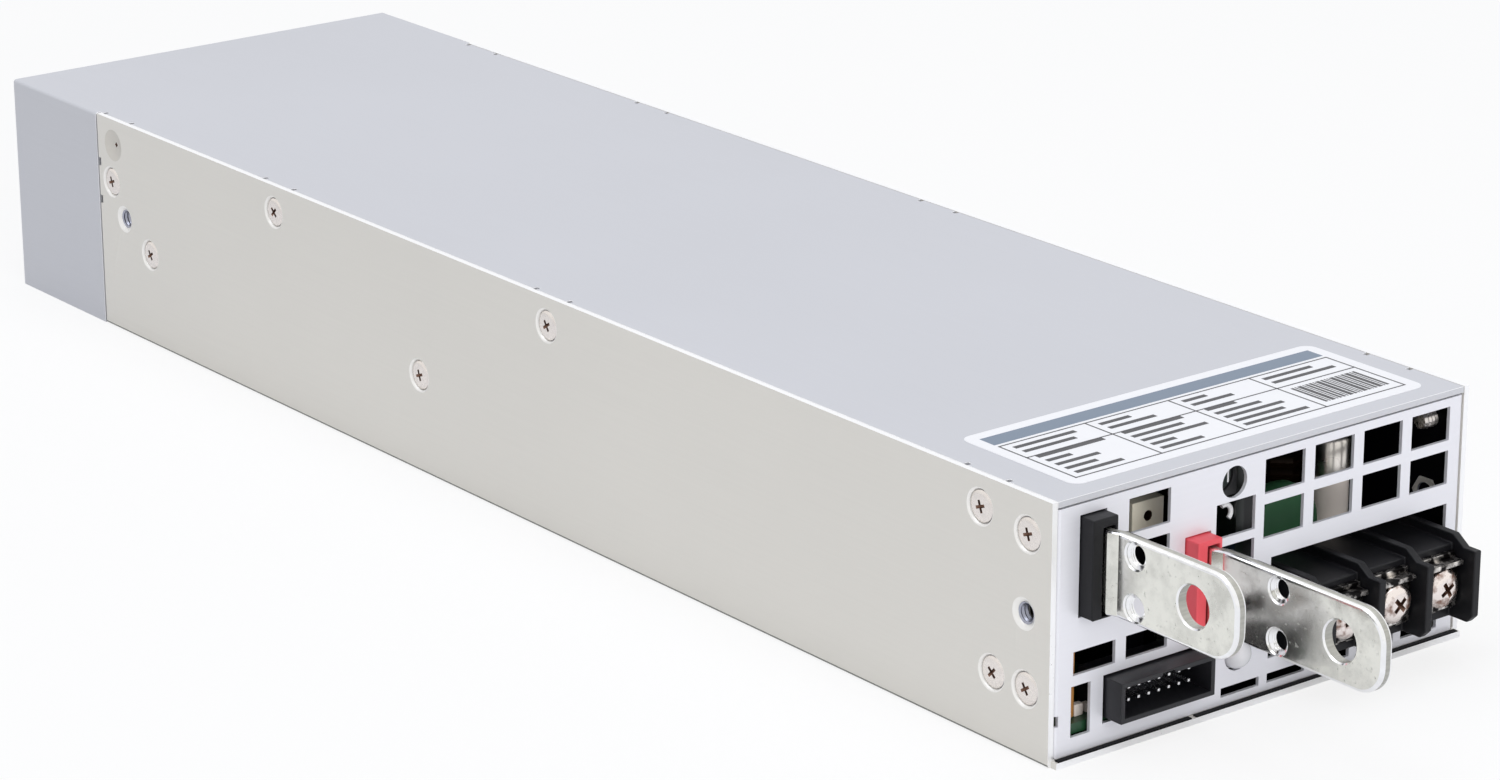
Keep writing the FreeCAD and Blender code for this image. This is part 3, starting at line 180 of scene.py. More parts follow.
def pointed(bm, at, axis, roll=0.0):
    """Turn a shape made along +Z to an axis, roll it and put it in place."""
    turn = UP.rotation_difference(axis).to_matrix().to_4x4()
    matrix = Matrix.Translation(at) @ turn @ Matrix.Rotation(roll, 4, "Z")
    bmesh.ops.transform(bm, matrix=matrix, verts=bm.verts)
    return bm


def spun(profile, at=(0, 0, 0), axis=UP, steps=48):
    """Turned shape: (radius, height) points spun round the axis."""
    bm = bmesh.new()
    verts = [bm.verts.new((radius, 0, height)) for radius, height in profile]
    edges = [bm.edges.new(pair) for pair in zip(verts, verts[1:])]
    bmesh.ops.spin(bm, geom=verts + edges, cent=(0, 0, 0), axis=(0, 0, 1), angle=math.tau,
                   steps=steps, use_merge=True)
    bmesh.ops.remove_doubles(bm, verts=bm.verts, dist=0.0005)
    bmesh.ops.recalc_face_normals(bm, faces=bm.faces)
    return pointed(bm, Vector(at), axis)


def rod(radius, size, at, axis, steps=40):
    """Closed cylinder that starts at a point."""
    bm = bmesh.new()
    bmesh.ops.create_cone(bm, cap_ends=True, segments=steps, radius1=radius, radius2=radius, depth=size)
    bmesh.ops.translate(bm, vec=(0, 0, size / 2), verts=bm.verts)
    return pointed(bm, Vector(at), axis)


def slab(low, high):
    """Closed box between two corners."""
    bm = bmesh.new()
    bmesh.ops.create_cube(bm, size=1.0)
    low, high = Vector(low), Vector(high)
    bmesh.ops.scale(bm, vec=high - low, verts=bm.verts)
    bmesh.ops.translate(bm, vec=(low + high) / 2, verts=bm.verts)
    return bm


def mesh_of(bm, name):
    """Mesh of a shape, which is used up."""
    mesh = bpy.data.meshes.new(name)
    bm.to_mesh(mesh)
    bm.free()
    return mesh


def joined(parts):
    """Several shapes in one."""
    whole = bmesh.new()
    for part in parts:
        mesh = mesh_of(part, "part")
        whole.from_mesh(mesh)
        bpy.data.meshes.remove(mesh)
    return whole


def rounded(bm, edges, radius, segments):
    """Edges of a shape rounded in the mesh itself."""
    bmesh.ops.bevel(bm, geom=edges, offset=radius, offset_type="OFFSET", affect="EDGES", segments=segments,
                    profile=0.5, material=-1)


def split(bm, at, normal):
    """New edges where a plane crosses a shape."""
    bmesh.ops.bisect_plane(bm, geom=bm.verts[:] + bm.edges[:] + bm.faces[:], plane_co=at, plane_no=normal)


def marked(bm, index):
    """Shape whose faces all take one finish of its list."""
    for face in bm.faces:
        face.material_index = index
    return bm


def carved(bm, cutter):
    """One closed shape cut out of another, each face keeping its place in the list of finishes."""
    pair = []
    for shape in (bm, cutter):
        mesh = mesh_of(shape, "carving")
        for _ in range(3):  # empty slots, without which the cut drops the faces' finishes
            mesh.materials.append(None)
        pair.append(bpy.data.objects.new("carving", mesh))
        bpy.context.scene.collection.objects.link(pair[-1])
    body, tool = pair
    cut = body.modifiers.new("Cut", "BOOLEAN")
    cut.operation, cut.solver, cut.object = "DIFFERENCE", "EXACT", tool
    graph = bpy.context.evaluated_depsgraph_get()
    mesh = bpy.data.meshes.new_from_object(body.evaluated_get(graph))
    result = bmesh.new()
    result.from_mesh(mesh)
    bpy.data.meshes.remove(mesh)
    for carving in pair:
        mesh = carving.data
        bpy.data.objects.remove(carving)
        bpy.data.meshes.remove(mesh)
    if not result.faces:
        raise RuntimeError("a cut left nothing")
    return result


def finished(name, bm, finishes, body="case", solids=(), edge=0.0, segments=2, smooth=35.0, rim=-1):
    """Object of a shape: in metres, smooth, with edges rounded in the finish rim, riding on a body."""
    bmesh.ops.scale(bm, vec=(MM,) * 3, verts=bm.verts)
    mesh = mesh_of(bm, name)
    for finish in finishes if isinstance(finishes, list) else [finishes]:
        mesh.materials.append(finish)
    mesh.shade_smooth()
    mesh.set_sharp_from_angle(angle=math.radians(smooth))
    piece = bpy.data.objects.new(name, mesh)
    bpy.context.scene.collection.objects.link(piece)
    if edge:
        bevel = piece.modifiers.new("Edges", "BEVEL")
        bevel.width, bevel.segments, bevel.profile = edge * MM, segments, 0.5
        bevel.limit_method, bevel.angle_limit = "ANGLE", math.radians(smooth)
        bevel.harden_normals, bevel.material = True, rim
    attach(piece, body)
    if solids:
        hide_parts(*solids)


# Finishes

def add(tree, kind, inputs=None, **settings):
    """Add a node with its settings, values and links."""
    node = tree.nodes.new("ShaderNode" + kind)
    for setting, value in settings.items():
        setattr(node, setting, value)
    for socket, value in (inputs or {}).items():
        if isinstance(value, bpy.types.NodeSocket):
            tree.links.new(value, node.inputs[socket])
        else:
            node.inputs[socket].default_value = value
    return node


def empty_tree(owner):
    """Node tree of a material or world, with nothing in it."""
    owner.use_nodes = True
    owner.node_tree.nodes.clear()
    return owner.node_tree


def surface(name, **values):
    """New material with its shader, and where its pattern is read."""
    material = bpy.data.materials.new(name)
    tree = empty_tree(material)
    shader = add(tree, "BsdfPrincipled")
    for socket, value in values.items():
        shader.inputs[socket.replace("_", " ")].default_value = value
    add(tree, "OutputMaterial", {"Surface": shader.outputs["BSDF"]})
    place = add(tree, "TexCoord").outputs["Object"]
    return material, tree, shader, place


def shade(tone, factor):
    """A colour made darker or lighter."""
    return tuple(min(1.0, c * factor) for c in tone[:3]) + (1.0,)


def varied(tree, shader, factor, low, high, rough):
    """Drive colour and roughness between two values by a pattern."""
    mix = add(tree, "Mix", {0: factor, 6: low, 7: high}, data_type="RGBA")
    tree.links.new(mix.outputs[2], shader.inputs["Base Color"])
    span = add(tree, "MapRange", {"Value": factor, "To Min": rough[0], "To Max": rough[1]})
    tree.links.new(span.outputs["Result"], shader.inputs["Roughness"])


def rough_skin(tree, shader, height, strength, depth):
    """Fine relief of a surface, its depth in millimetres."""
    bump = add(tree, "Bump", {"Height": height, "Strength": strength, "Distance": depth * MM})
    tree.links.new(bump.outputs["Normal"], shader.inputs["Normal"])


def rolled_sheet(name, tone, metallic, rough, flow):
    """Zinc-plated cold-rolled sheet: satin, soft clouds and faint streaks along the rolling."""
    material, tree, shader, place = surface(name, Metallic=metallic)
    across, along = 1 / (0.5 * MM), 1 / (30 * MM)  # real streaks are finer, and drawn 0.5 mm wide to show
    scale = [along if axis == flow else across for axis in "XYZ"]
    streaks = add(tree, "Mapping", {"Vector": place, "Scale": scale})
    grain = add(tree, "TexNoise", {"Vector": streaks.outputs[0], "Scale": 1.0, "Detail": 2.0})
    clouds = add(tree, "TexNoise", {"Vector": place, "Scale": 1 / (60 * MM), "Detail": 3.0})
    blend = add(tree, "Mix", {0: 0.35, 2: clouds.outputs["Fac"], 3: grain.outputs["Fac"]})
    varied(tree, shader, blend.outputs[0], shade(tone, 0.95), shade(tone, 1.05), rough)
    rough_skin(tree, shader, grain.outputs["Fac"], 0.10, 0.004)
    return material


def tinned_copper(name, tone):
    """Tin-plated copper bar: bright, with dull grey clouds, specks and handling marks."""
    material, tree, shader, place = surface(name, Metallic=1.0)
    clouds = add(tree, "TexNoise", {"Vector": place, "Scale": 1 / (5 * MM), "Detail": 5.0, "Roughness": 0.62})
    specks = add(tree, "TexNoise", {"Vector": place, "Scale": 1 / (0.9 * MM), "Detail": 2.0})
    dull = add(tree, "MapRange", {"Value": clouds.outputs["Fac"], "From Min": 0.30, "From Max": 0.56})
    spotted = add(tree, "MapRange", {"Value": specks.outputs["Fac"], "From Min": 0.26, "From Max": 0.38})
    both = add(tree, "Math", {0: dull.outputs["Result"], 1: spotted.outputs["Result"]}, operation="MULTIPLY")
    varied(tree, shader, both.outputs[0], shade(tone, 0.68), shade(tone, 0.92), (0.32, 0.16))
    rough_skin(tree, shader, clouds.outputs["Fac"], 0.15, 0.04)
    return material


def sheared_edge(name, tone):
    """Sheared face of a plated bar: duller than the flats, with fine lines across its thickness."""
    material, tree, shader, place = surface(name, Metallic=1.0)
    lines = add(tree, "Mapping", {"Vector": place, "Scale": (1 / (4 * MM), 1 / (0.35 * MM), 1 / (0.35 * MM))})
    tears = add(tree, "TexNoise", {"Vector": lines.outputs[0], "Scale": 1.0, "Detail": 3.0})
    varied(tree, shader, tears.outputs["Fac"], shade(tone, 0.40), shade(tone, 0.68), (0.5, 0.35))
    rough_skin(tree, shader, tears.outputs["Fac"], 0.3, 0.03)
    return material


def mottled_plating(name, tone, dark, start, end):
    """Plated metal mottled: bright flecks between dark patches, which are painted highlights and painted reflections.
    """
    material, tree, shader, place = surface(name, Metallic=1.0)
    patches = add(tree, "TexNoise", {"Vector": place, "Scale": 1 / (1.6 * MM), "Detail": 4.0})
    flecks = add(tree, "MapRange", {"Value": patches.outputs["Fac"], "From Min": start, "From Max": end})
    varied(tree, shader, flecks.outputs["Result"], dark, tone, (0.45, 0.18))
    rough_skin(tree, shader, patches.outputs["Fac"], 0.25, 0.05)
    return material


def plated_metal(name, tone, rough, grain):
    """Nickel, tin or bare metal on small parts: bright, with fine uneven polish."""
    material, tree, shader, place = surface(name, Metallic=1.0)
    polish = add(tree, "TexNoise", {"Vector": place, "Scale": 1 / (grain * MM), "Detail": 3.0})
    varied(tree, shader, polish.outputs["Fac"], shade(tone, 0.84), shade(tone, 1.06), rough)
    rough_skin(tree, shader, polish.outputs["Fac"], 0.08, 0.02)
    return material


def moulded(name, tone, rough, grain=0.35, ior=1.52, gloss=0.5):
    """Moulded plastic or dipped epoxy: even colour, fine spark-eroded grain that breaks the shine."""
    material, tree, shader, place = surface(name, IOR=ior, Specular_IOR_Level=gloss)
    # The real grain is under 0.1 mm, and drawn coarser to show
    pits = add(tree, "TexNoise", {"Vector": place, "Scale": 1 / (grain * MM), "Detail": 2.0})
    flow = add(tree, "TexNoise", {"Vector": place, "Scale": 1 / (7 * MM), "Detail": 2.0})
    varied(tree, shader, flow.outputs["Fac"], shade(tone, 0.88), shade(tone, 1.14), rough)
    rough_skin(tree, shader, pits.outputs["Fac"], 0.25, 0.02)
    return material


def label_film(name, tone):
    """Polyester film: white, smooth, with the faint dimpling of its glue."""
    material, tree, shader, place = surface(name, IOR=1.5)
    dimples = add(tree, "TexNoise", {"Vector": place, "Scale": 1 / (2.5 * MM), "Detail": 2.0})
    varied(tree, shader, dimples.outputs["Fac"], shade(tone, 0.97), tone, (0.34, 0.42))
    rough_skin(tree, shader, dimples.outputs["Fac"], 0.12, 0.01)
    return material


def clear_epoxy(name):
    """Cast epoxy lens with a diffusing filler: pale, milky, glossy outside."""
    material, tree, shader, place = surface(name, IOR=1.53, Transmission_Weight=0.15)
    haze = add(tree, "TexNoise", {"Vector": place, "Scale": 1 / (1.5 * MM), "Detail": 2.0})
    varied(tree, shader, haze.outputs["Fac"], linear("E6E6EA"), linear("F4F4F7"), (0.12, 0.22))
    return material


def laminate(name, tone):
    """Glass laminate under solder resist: glossy green, with the weave just showing."""
    material, tree, shader, place = surface(name, IOR=1.55)
    weave = add(tree, "TexChecker", {"Vector": place, "Scale": 1 / (0.6 * MM), "Color1": (1, 1, 1, 1),
                                     "Color2": (0, 0, 0, 1)})
    tracks = add(tree, "TexNoise", {"Vector": place, "Scale": 1 / (6 * MM), "Detail": 1.0})
    varied(tree, shader, tracks.outputs["Fac"], shade(tone, 0.8), shade(tone, 1.25), (0.30, 0.42))
    rough_skin(tree, shader, weave.outputs["Fac"], 0.15, 0.01)
    return material


def wound_wire(name, tone):
    """Enamelled copper winding under varnish: glossy turns side by side."""
    material, tree, shader, place = surface(name, Metallic=0.6)
    # Bands repeat every tau / 20 of the scaled coordinate, so the turns lie about 2 mm apart
    turns = add(tree, "TexWave", {"Vector": place, "Scale": 1 / (math.tau * MM), "Distortion": 0.4},
                bands_direction="Z")
    varied(tree, shader, turns.outputs["Fac"], shade(tone, 0.55), tone, (0.45, 0.25))
    rough_skin(tree, shader, turns.outputs["Fac"], 0.6, 0.2)
    return material


@functools.cache
def all_finishes():
    """Every finish, made once, under the record's material slot where it has one."""
    tones = bpy.context.scene.supply_colours
    return {
        "wall_sheet": rolled_sheet("zinc_plated_steel_warm", tones.wall, 0.15, (0.44, 0.54), "Y"),
        "cover_sheet": rolled_sheet("zinc_plated_steel_satin", tones.cover, 0.25, (0.42, 0.52), "Y"),
        "panel_sheet": rolled_sheet("zinc_plated_steel_bright", tones.panel, 0.25, (0.34, 0.44), "X"),
        "label": label_film("printed_polyester_film", tones.label),
        "label_ink": label_film("screen_printed_ink", tones.ink),
        "label_band": label_film("screen_printed_field", tones.band),
        "screw_steel": plated_metal("nickel_plated_steel", tones.screw, (0.20, 0.34), 0.8),
        "bar_metal": tinned_copper("tin_plated_copper", tones.bar),
        "bar_shear": sheared_edge("sheared_tinned_copper", tones.bar),
        # Painted highlight: near-white burnished tin on the bars' rounded edges and thread collars
        "bar_rim_highlight": plated_metal("burnished_tin_painted_highlight", linear("FBFBFB"), (0.12, 0.2), 1.5),
        # Painted highlight: near-white sheet for the front ends, top edges and rounded rims of the sheets
        "edge_highlight": rolled_sheet("zinc_edge_painted_highlight", linear("F8F8F9"), 0.55, (0.24, 0.34), "Y"),
        # Painted shade: dark grey on the downward faces of the bottom folds, for the contact shadow along the bottom
        # edge
        "fold_shade": rolled_sheet("zinc_painted_fold_shade", linear("7E7F7A"), 0.2, (0.42, 0.52), "Y"),
        # Painted highlight: sheet lighter than the wall, for the bright crescents in the dishes
        "dish_highlight": rolled_sheet("pressed_zinc_painted_highlight", linear("F0EEEA"), 0.3, (0.26, 0.36), "Y"),
        # Painted shade: sheet darker than the wall, for the hollow of the deep dimple
        "shaded_dish": rolled_sheet("zinc_painted_dimple_shade", linear("CDC9C1"), 0.15, (0.36, 0.46), "Y"),
        "thread_steel": plated_metal("cut_steel_thread", linear("A8AAB6"), (0.24, 0.36), 0.5),
        "post_tin": plated_metal("bright_tinned_post", linear("FCFCFD"), (0.22, 0.32), 0.6),
        # Dark brown for recesses and holes: oil, and painted shade
        "recess": plated_metal("oiled_steel_recess_painted_shade", linear("86695B"), (0.42, 0.56), 0.5),
        "clamp_metal": mottled_plating("spring_brass_painted_reflections", linear("EDE8E2"), linear("1E1C1C"), 0.46, 0.66),
        "pole_steel": mottled_plating("nickel_plated_steel_painted_reflections", linear("F4EAE4"), linear("8C6F62"), 0.34, 0.52),
        "black_plastic": moulded("moulded_black_polyester", tones.black, (0.40, 0.52), gloss=0.28),
        "header_plastic": moulded("moulded_black_nylon", tones.header, (0.40, 0.52)),
        "red_plastic": moulded("moulded_red_polyester", tones.red, (0.36, 0.48)),
        "contact_metal": plated_metal("tinned_brass", linear("E2DED0"), (0.16, 0.28), 0.6),
        "lamp_lens": clear_epoxy("cast_milky_epoxy"),
        "board": laminate("solder_resist_on_laminate", tones.board),
        "film": moulded("polycarbonate_film_black", linear("06060A"), (0.5, 0.6), 1.2, 1.58, 0.08),
        "dial": moulded("moulded_grey_green_dial", linear("262D2B"), (0.36, 0.48)),
        "ferrite": moulded("pressed_ferrite", linear("1C1C1F"), (0.60, 0.75), 0.25, gloss=0.3),
        # Painted shade: copper winding darkened towards black, as it sits in the dark of the case
        "winding": wound_wire("copper_wire_painted_shade", linear("2A1D12")),
        "can_sleeve": moulded("shrunk_sleeve_black", linear("15161A"), (0.30, 0.42), 0.5),
        "box_plastic": moulded("moulded_dark_box", linear("2A2A2C"), (0.45, 0.6)),
        # Painted light: aluminium brightened towards white, so that the sink reads lit in the dark of the case
        "sink_metal": rolled_sheet("aluminium_painted_highlight", linear("FFF6E2"), 0.1, (0.34, 0.48), "Y"),
        "ceramic": moulded("unglazed_ceramic", linear("EAE0D8"), (0.45, 0.55), 0.3, 1.6),
        "thermistor_green": moulded("dipped_green_epoxy", linear("2B5A3A"), (0.42, 0.55), 0.6),
        # Painted shade: near-black laminate for the control board
        "board_painted_shade": laminate("laminate_painted_shade", linear("0E1411")),
        "tan_epoxy": moulded("dipped_tan_epoxy", linear("A8763E"), (0.42, 0.55), 0.6),
        "cap_metal": plated_metal("nickel_plated_brass_cap", linear("F0EAE2"), (0.22, 0.32), 6.0),
        "blue_epoxy": moulded("dipped_blue_epoxy", linear("24507E"), (0.3, 0.42), 0.6),
        "package_epoxy": moulded("moulded_epoxy_package", linear("1A1A1C"), (0.45, 0.6), 0.3),
    }


def finish_of(slot):
    """The finish under one name."""
    return all_finishes()[slot]


# Shapes that several pieces share

def side_places(places):
    """Points and outward axes on both walls."""
    for station, height in places:
        for axis in (LEFT, RIGHT):
            yield Vector((axis.x * HALF_WIDTH, FRONT_Y + station, height)), axis


def cross_recess(width, blade, depth, top):
    """Tapered cross-shaped cutter, for the driver's recess in a screw head."""
    arms = []
    for roll in (0.0, math.pi / 2):
        arm = slab((-width / 2, -blade / 2, top - depth), (width / 2, blade / 2, top + 1.0))
        for vert in arm.verts:
            if vert.co.z < top:
                vert.co.x *= 0.35
                vert.co.y *= 0.7
        bmesh.ops.rotate(arm, cent=(0, 0, 0), matrix=Matrix.Rotation(roll, 3, "Z"), verts=arm.verts)
        # Index 1 takes the dark recess finish: oil, and painted shade in the cross
        arms.append(marked(arm, 1))
    return arms


def thread(radius, start, end, pitch=0.7, depth=0.22):
    """Profile of a threaded shank from its head down to its point."""
    turns = int((start - end) / pitch)
    points = []
    for turn in range(turns):
        points += [(radius - depth, start - turn * pitch), (radius, start - (turn + 0.5) * pitch)]
    return points + [(radius - depth, end), (0, end)]


def driven(profile, recess):
    """Screw from its profile, with a cross recess cut into its head."""
    screw = spun(profile, steps=40)
    for arm in cross_recess(*recess):
        screw = carved(screw, arm)
    return screw


def flush_screw():
    """Screw whose low crown lies in a dish, made along +Z with the sheet's face at 0."""
    head = mm("head")
    crown = [(0, -0.03), (1.1, -0.05), (1.8, -0.11), (head - 0.2, -0.22), (head, -0.38), (1.5, -1.25)]
    return driven(crown + thread(SHANK_RADIUS, -1.3, SHANK_END), SCREW_CROSS)


def dimple():
    """Dish pressed deep round a small screw, made as the flush screw is."""
    dish = mm("dish")
    hollow = [(0, -0.75), (0.5, -0.73), (1.2, -0.62), (2.0, -0.38), (2.6, -0.15), (2.92, -0.03), (dish, -0.012)]
    hollow += [(dish + mm("sheet_edge"), -0.012), (dish, -0.16), (dish, -0.95), (1.3, -0.95)]
    return driven(hollow + thread(SHANK_RADIUS, -1.0, SHANK_END), DIMPLE_CROSS)


def dished_ring(inner, dish):
    """Sheet pressed in round a hole: a cone from the face down to the hole."""
    lap = dish + mm("sheet_edge")
    return spun([(lap, -0.012), (dish - 0.06, -0.012), (dish - 0.14, -0.05), (inner + 0.06, -0.44), (inner, -0.55),
                 (inner, -0.95), (dish, -0.95), (dish, -0.16), (lap, -0.012)])


def dish_cutters(radius, places, depth):
    """Rods that cut the rounds of dishes, from just outside the sheet."""
    start = 0.4
    return [rod(radius, start + depth, at + start * axis, -axis) for at, axis in places]


def fan_screw_places():
    """Corners of both fans on the rear panel."""
    for x in FANS.values():
        for across in (-FAN_REACH, FAN_REACH):
            for rise in (-FAN_REACH, FAN_REACH):
                yield Vector((x + across, REAR_Y, FAN_HEIGHT + rise)), BACK


class SUPPLY_OT_sheet_metal(bpy.types.Operator):
    """Tray, cover, front panel and fan panel with rounded punched edges"""
    bl_idname = "supply.sheet_metal"
    bl_label = "Sheet metal"

    def execute(self, context):
        edge, dish = mm("sheet_edge"), mm("dish")
        places = [place for group in SIDE_SCREWS.values() for place in group]
        holes = dish_cutters(dish, side_places(places), 1.1)
        holes += dish_cutters(mm("tap_dish"), side_places(SIDE_TAPS), 1.1)
        tray = cad_copy("chassis_tray")
        folds = [line for line in tray.edges
                 if all(vert.co.z < 0.01 and abs(vert.co.x) > HALF_WIDTH - 0.01 for vert in line.verts)]
        rounded(tray, folds, mm("fold"), 4)
        tray = carved(tray, joined(holes))
        tray.normal_update()
        for face in tray.faces:
            middle, facing = face.calc_center_median(), face.normal
            # Front ends and top edges of the tray take the near-white finish: a painted highlight
            highlit_front = facing.y < -0.9 and middle.y < FRONT_Y + 1
            highlit_top = facing.z > 0.9 and middle.z > CASE_TOP - 3
            if highlit_front or highlit_top:
                face.material_index = 1
            # Downward faces of the bottom folds take the dark grey finish: painted shade along the bottom edge
            elif -0.95 < facing.z < -0.15 and middle.z < mm("fold"):
                face.material_index = 2
        rim = finish_of("edge_highlight")
        finished("tray_sheet", tray, [finish_of("wall_sheet"), rim, finish_of("fold_shade")],
                 solids=["chassis_tray"], edge=edge)
        finished("cover_sheet", cad_copy("top_cover"), [finish_of("cover_sheet"), rim],
                 solids=["top_cover"], edge=edge, rim=1)
        window = rod(2.5, 3.0, (TRIMMER.x, FRONT_Y - 1, TRIMMER.z), BACK)
        seam = slab((-HALF_WIDTH, FRONT_Y - 1, PANEL_TOP), (HALF_WIDTH, FRONT_Y + 0.7, CASE_TOP))
        (near, far), (start, end), (low, high) = NOTCH_ACROSS, NOTCH_ALONG, NOTCH_HEIGHTS
        notches = [slab((left, FRONT_Y + start, low), (right, FRONT_Y + end, high))
                   for left, right in ((-far, -near), (near, far))]
        panel = carved(carved(cad_copy("front_panel"), joined([window] + notches)), seam)
        finished("punched_panel", panel, [finish_of("panel_sheet"), rim], solids=["front_panel"],
                 edge=edge / 2, rim=1)
        grille = carved(cad_copy("fan_panel"), joined(dish_cutters(dish, fan_screw_places(), 0.95)))
        finished("grille_panel", grille, [finish_of("panel_sheet"), rim], solids=["fan_panel"],
                 edge=edge, rim=1)
        return {"FINISHED"}


class SUPPLY_OT_flush_screws(bpy.types.Operator):
    """Flush screws in pressed dishes on both walls and the rear, and threads in the mounting holes"""
    bl_idname = "supply.flush_screws"
    bl_label = "Flush screws"

    def execute(self, context):
        screw, pit = flush_screw(), dimple()
        ring, tap_ring = dished_ring(mm("head") + 0.03, mm("dish")), dished_ring(1.7, mm("tap_dish"))
        steel = [finish_of("screw_steel"), finish_of("recess")]
        # The dishes take a sheet lighter than the wall: painted highlight
        sheet = [finish_of("dish_highlight"), finish_of("recess")]
        pressed, dimples = [], []
        for solids, places in SIDE_SCREWS.items():
            heads = []
            for count, (at, axis) in enumerate(side_places(places)):
                roll = 0.35 + 0.9 * count
                if abs(at.y - FRONT_Y - DIMPLE[0]) < 0.1 and abs(at.z - DIMPLE[1]) < 0.1:
                    dimples.append(pointed(pit.copy(), at, axis))
                else:
                    heads.append(pointed(screw.copy(), at, axis, roll))
                    pressed.append(pointed(ring.copy(), at, axis))
            finished(solids + "_driven", joined(heads), steel, solids=[solids], smooth=40)
        pressed += [pointed(tap_ring.copy(), at, axis) for at, axis in side_places(SIDE_TAPS)]
        finished("pressed_dishes", joined(pressed), sheet, smooth=50)
        # The dimple takes a sheet darker than the wall: painted shade
        hollows = [finish_of("shaded_dish"), finish_of("recess")]
        finished("pressed_dimples", joined(dimples), hollows, smooth=50)
        heads, seats = [], []
        for count, (at, axis) in enumerate(fan_screw_places()):
            heads.append(pointed(screw.copy(), at, axis, 0.5 + 0.7 * count))
            seats.append(pointed(ring.copy(), at, axis))
        finished("fan_screws_driven", joined(heads), steel, solids=["fan_screws"], smooth=40)
        finished("rear_dishes", joined(seats), sheet, smooth=50)
        crest, root, wall, pitch = 1.42, 1.66, 1.69, 0.7
        ridges = [(root, -0.5)]
        for turn in range(3):
            ridges += [(crest, -0.7 - pitch * turn), (root, -1.05 - pitch * turn)]
        ridges += [(wall, -2.6), (wall, -0.5), (root, -0.5)]
        taps = [spun(ridges, at, axis, steps=32) for at, axis in side_places(SIDE_TAPS)]
        finished("mounting_threads", joined(taps), finish_of("thread_steel"), smooth=60)
        for shape in (screw, ring, tap_ring, pit):
            shape.free()
        return {"FINISHED"}


def plain_bar(solid, x, z):
    """Bar on edge without its holes: rounded end, joggle before the sleeve, foot on the board, rounded edges."""
    corners = [vert.co.copy() / MM for vert in frame["nodes"][solid].data.vertices]
    end, root, foot = min(c.y for c in corners), max(c.y for c in corners), min(c.z for c in corners)
    leg = min(c.y for c in corners if c.z < foot + 0.01)
    bottom = z - BAR_HEIGHT / 2
    bar = slab((x, end, bottom), (x + BAR_SHEET, root, bottom + BAR_HEIGHT))
    ends = [edge for edge in bar.edges if all(vert.co.y < end + 0.01 for vert in edge.verts)
            and abs(edge.verts[0].co.x - edge.verts[1].co.x) > 0.01]
    rounded(bar, ends, BAR_CORNER, 14)
    for y in JOGGLE + (leg,):
        split(bar, (0, y, 0), BACK)
    bar.normal_update()
    sole = [face for face in bar.faces if face.normal.z < -0.9 and face.calc_center_median().y > leg]
    lowered = bmesh.ops.extrude_face_region(bar, geom=sole)["geom"]
    bmesh.ops.translate(bar, vec=(0, 0, foot - bottom),
                        verts=[item for item in lowered if isinstance(item, bmesh.types.BMVert)])
    bmesh.ops.delete(bar, geom=[face for face in sole if face.is_valid], context="FACES_ONLY")
    inner = [vert for vert in bar.verts if vert.co.y > max(JOGGLE) - 0.01]
    bmesh.ops.translate(bar, vec=(-JOGGLE_STEP, 0, 0), verts=inner)
    bar.normal_update()
    outline = [edge for edge in bar.edges if edge.calc_face_angle(0.0) > math.radians(60)
               and all(vert.co.y < leg + 0.01 and vert.co.z > bottom - 0.01 for vert in edge.verts)]
    rounded(bar, outline, mm("bar_edge"), 3)
    return bar


class SUPPLY_OT_bus_bars(bpy.types.Operator):
    """Tinned bars with tapped holes, and the sleeves that they pass through"""
    bl_idname = "supply.bus_bars"
    bl_label = "Bus bars and sleeves"

    def execute(self, context):
        metals = [finish_of("bar_metal"), finish_of("bar_shear"), finish_of("bar_rim_highlight")]
        flat, sheared, highlit_rim = range(3)
        crest, root, wall, pitch = 1.55, 1.8, 2.05, 0.4
        for solid, (x, bolt, tap, z) in BARS.items():
            bar = plain_bar(solid, x, z)
            taps = [Vector((x, tap, z - TAP_RISE)), Vector((x, tap, z + TAP_RISE))]
            holes = [(Vector((x, bolt, z)), BOLT_RADIUS)] + [(at, TAP_RADIUS) for at in taps]
            cuts = []
            for at, radius in holes:
                cone = [(0, 0.1), (radius + 0.35, 0.1), (radius - 0.05, -0.3), (0, -0.3)]
                cuts += [spun(cone, at, LEFT), spun(cone, at + BAR_SHEET * RIGHT, RIGHT)]
            cuts += [rod(radius, 4.0, at - RIGHT, RIGHT, 56) for at, radius in holes]
            for cut in cuts:
                bar = carved(bar, cut)
            bar.normal_update()
            # Rounded edges take the near-white finish, burnished tin painted brighter as a highlight; sheared faces
            # take the duller finish
            for face in bar.faces:
                slope = abs(face.normal.x)
                joggled = 0.88 < slope < 0.95
                if slope > 0.98 or joggled:
                    face.material_index = flat
                else:
                    face.material_index = highlit_rim if slope > 0.1 else sheared
            finished(solid + "_tinned", bar, metals, solids=[solid], smooth=20)
            collar = [(wall, 0.35), (crest, 0.6)]
            for turn in range(2):
                collar += [(root, 0.8 + pitch * turn), (crest, 1.0 + pitch * turn)]
            collar += [(wall, 1.65), (wall, 0.35)]
            rings = [spun(collar, at, RIGHT, steps=32) for at in taps]
            finished(solid + "_threads", joined(rings), finish_of("bar_rim_highlight"), smooth=60)
        for solid, slot in (("negative_insulator", "black_plastic"), ("positive_insulator", "red_plastic")):
            finished(solid + "_sleeve", cad_copy(solid), finish_of(slot), solids=[solid],
                     edge=mm("moulded_edge"))
        return {"FINISHED"}


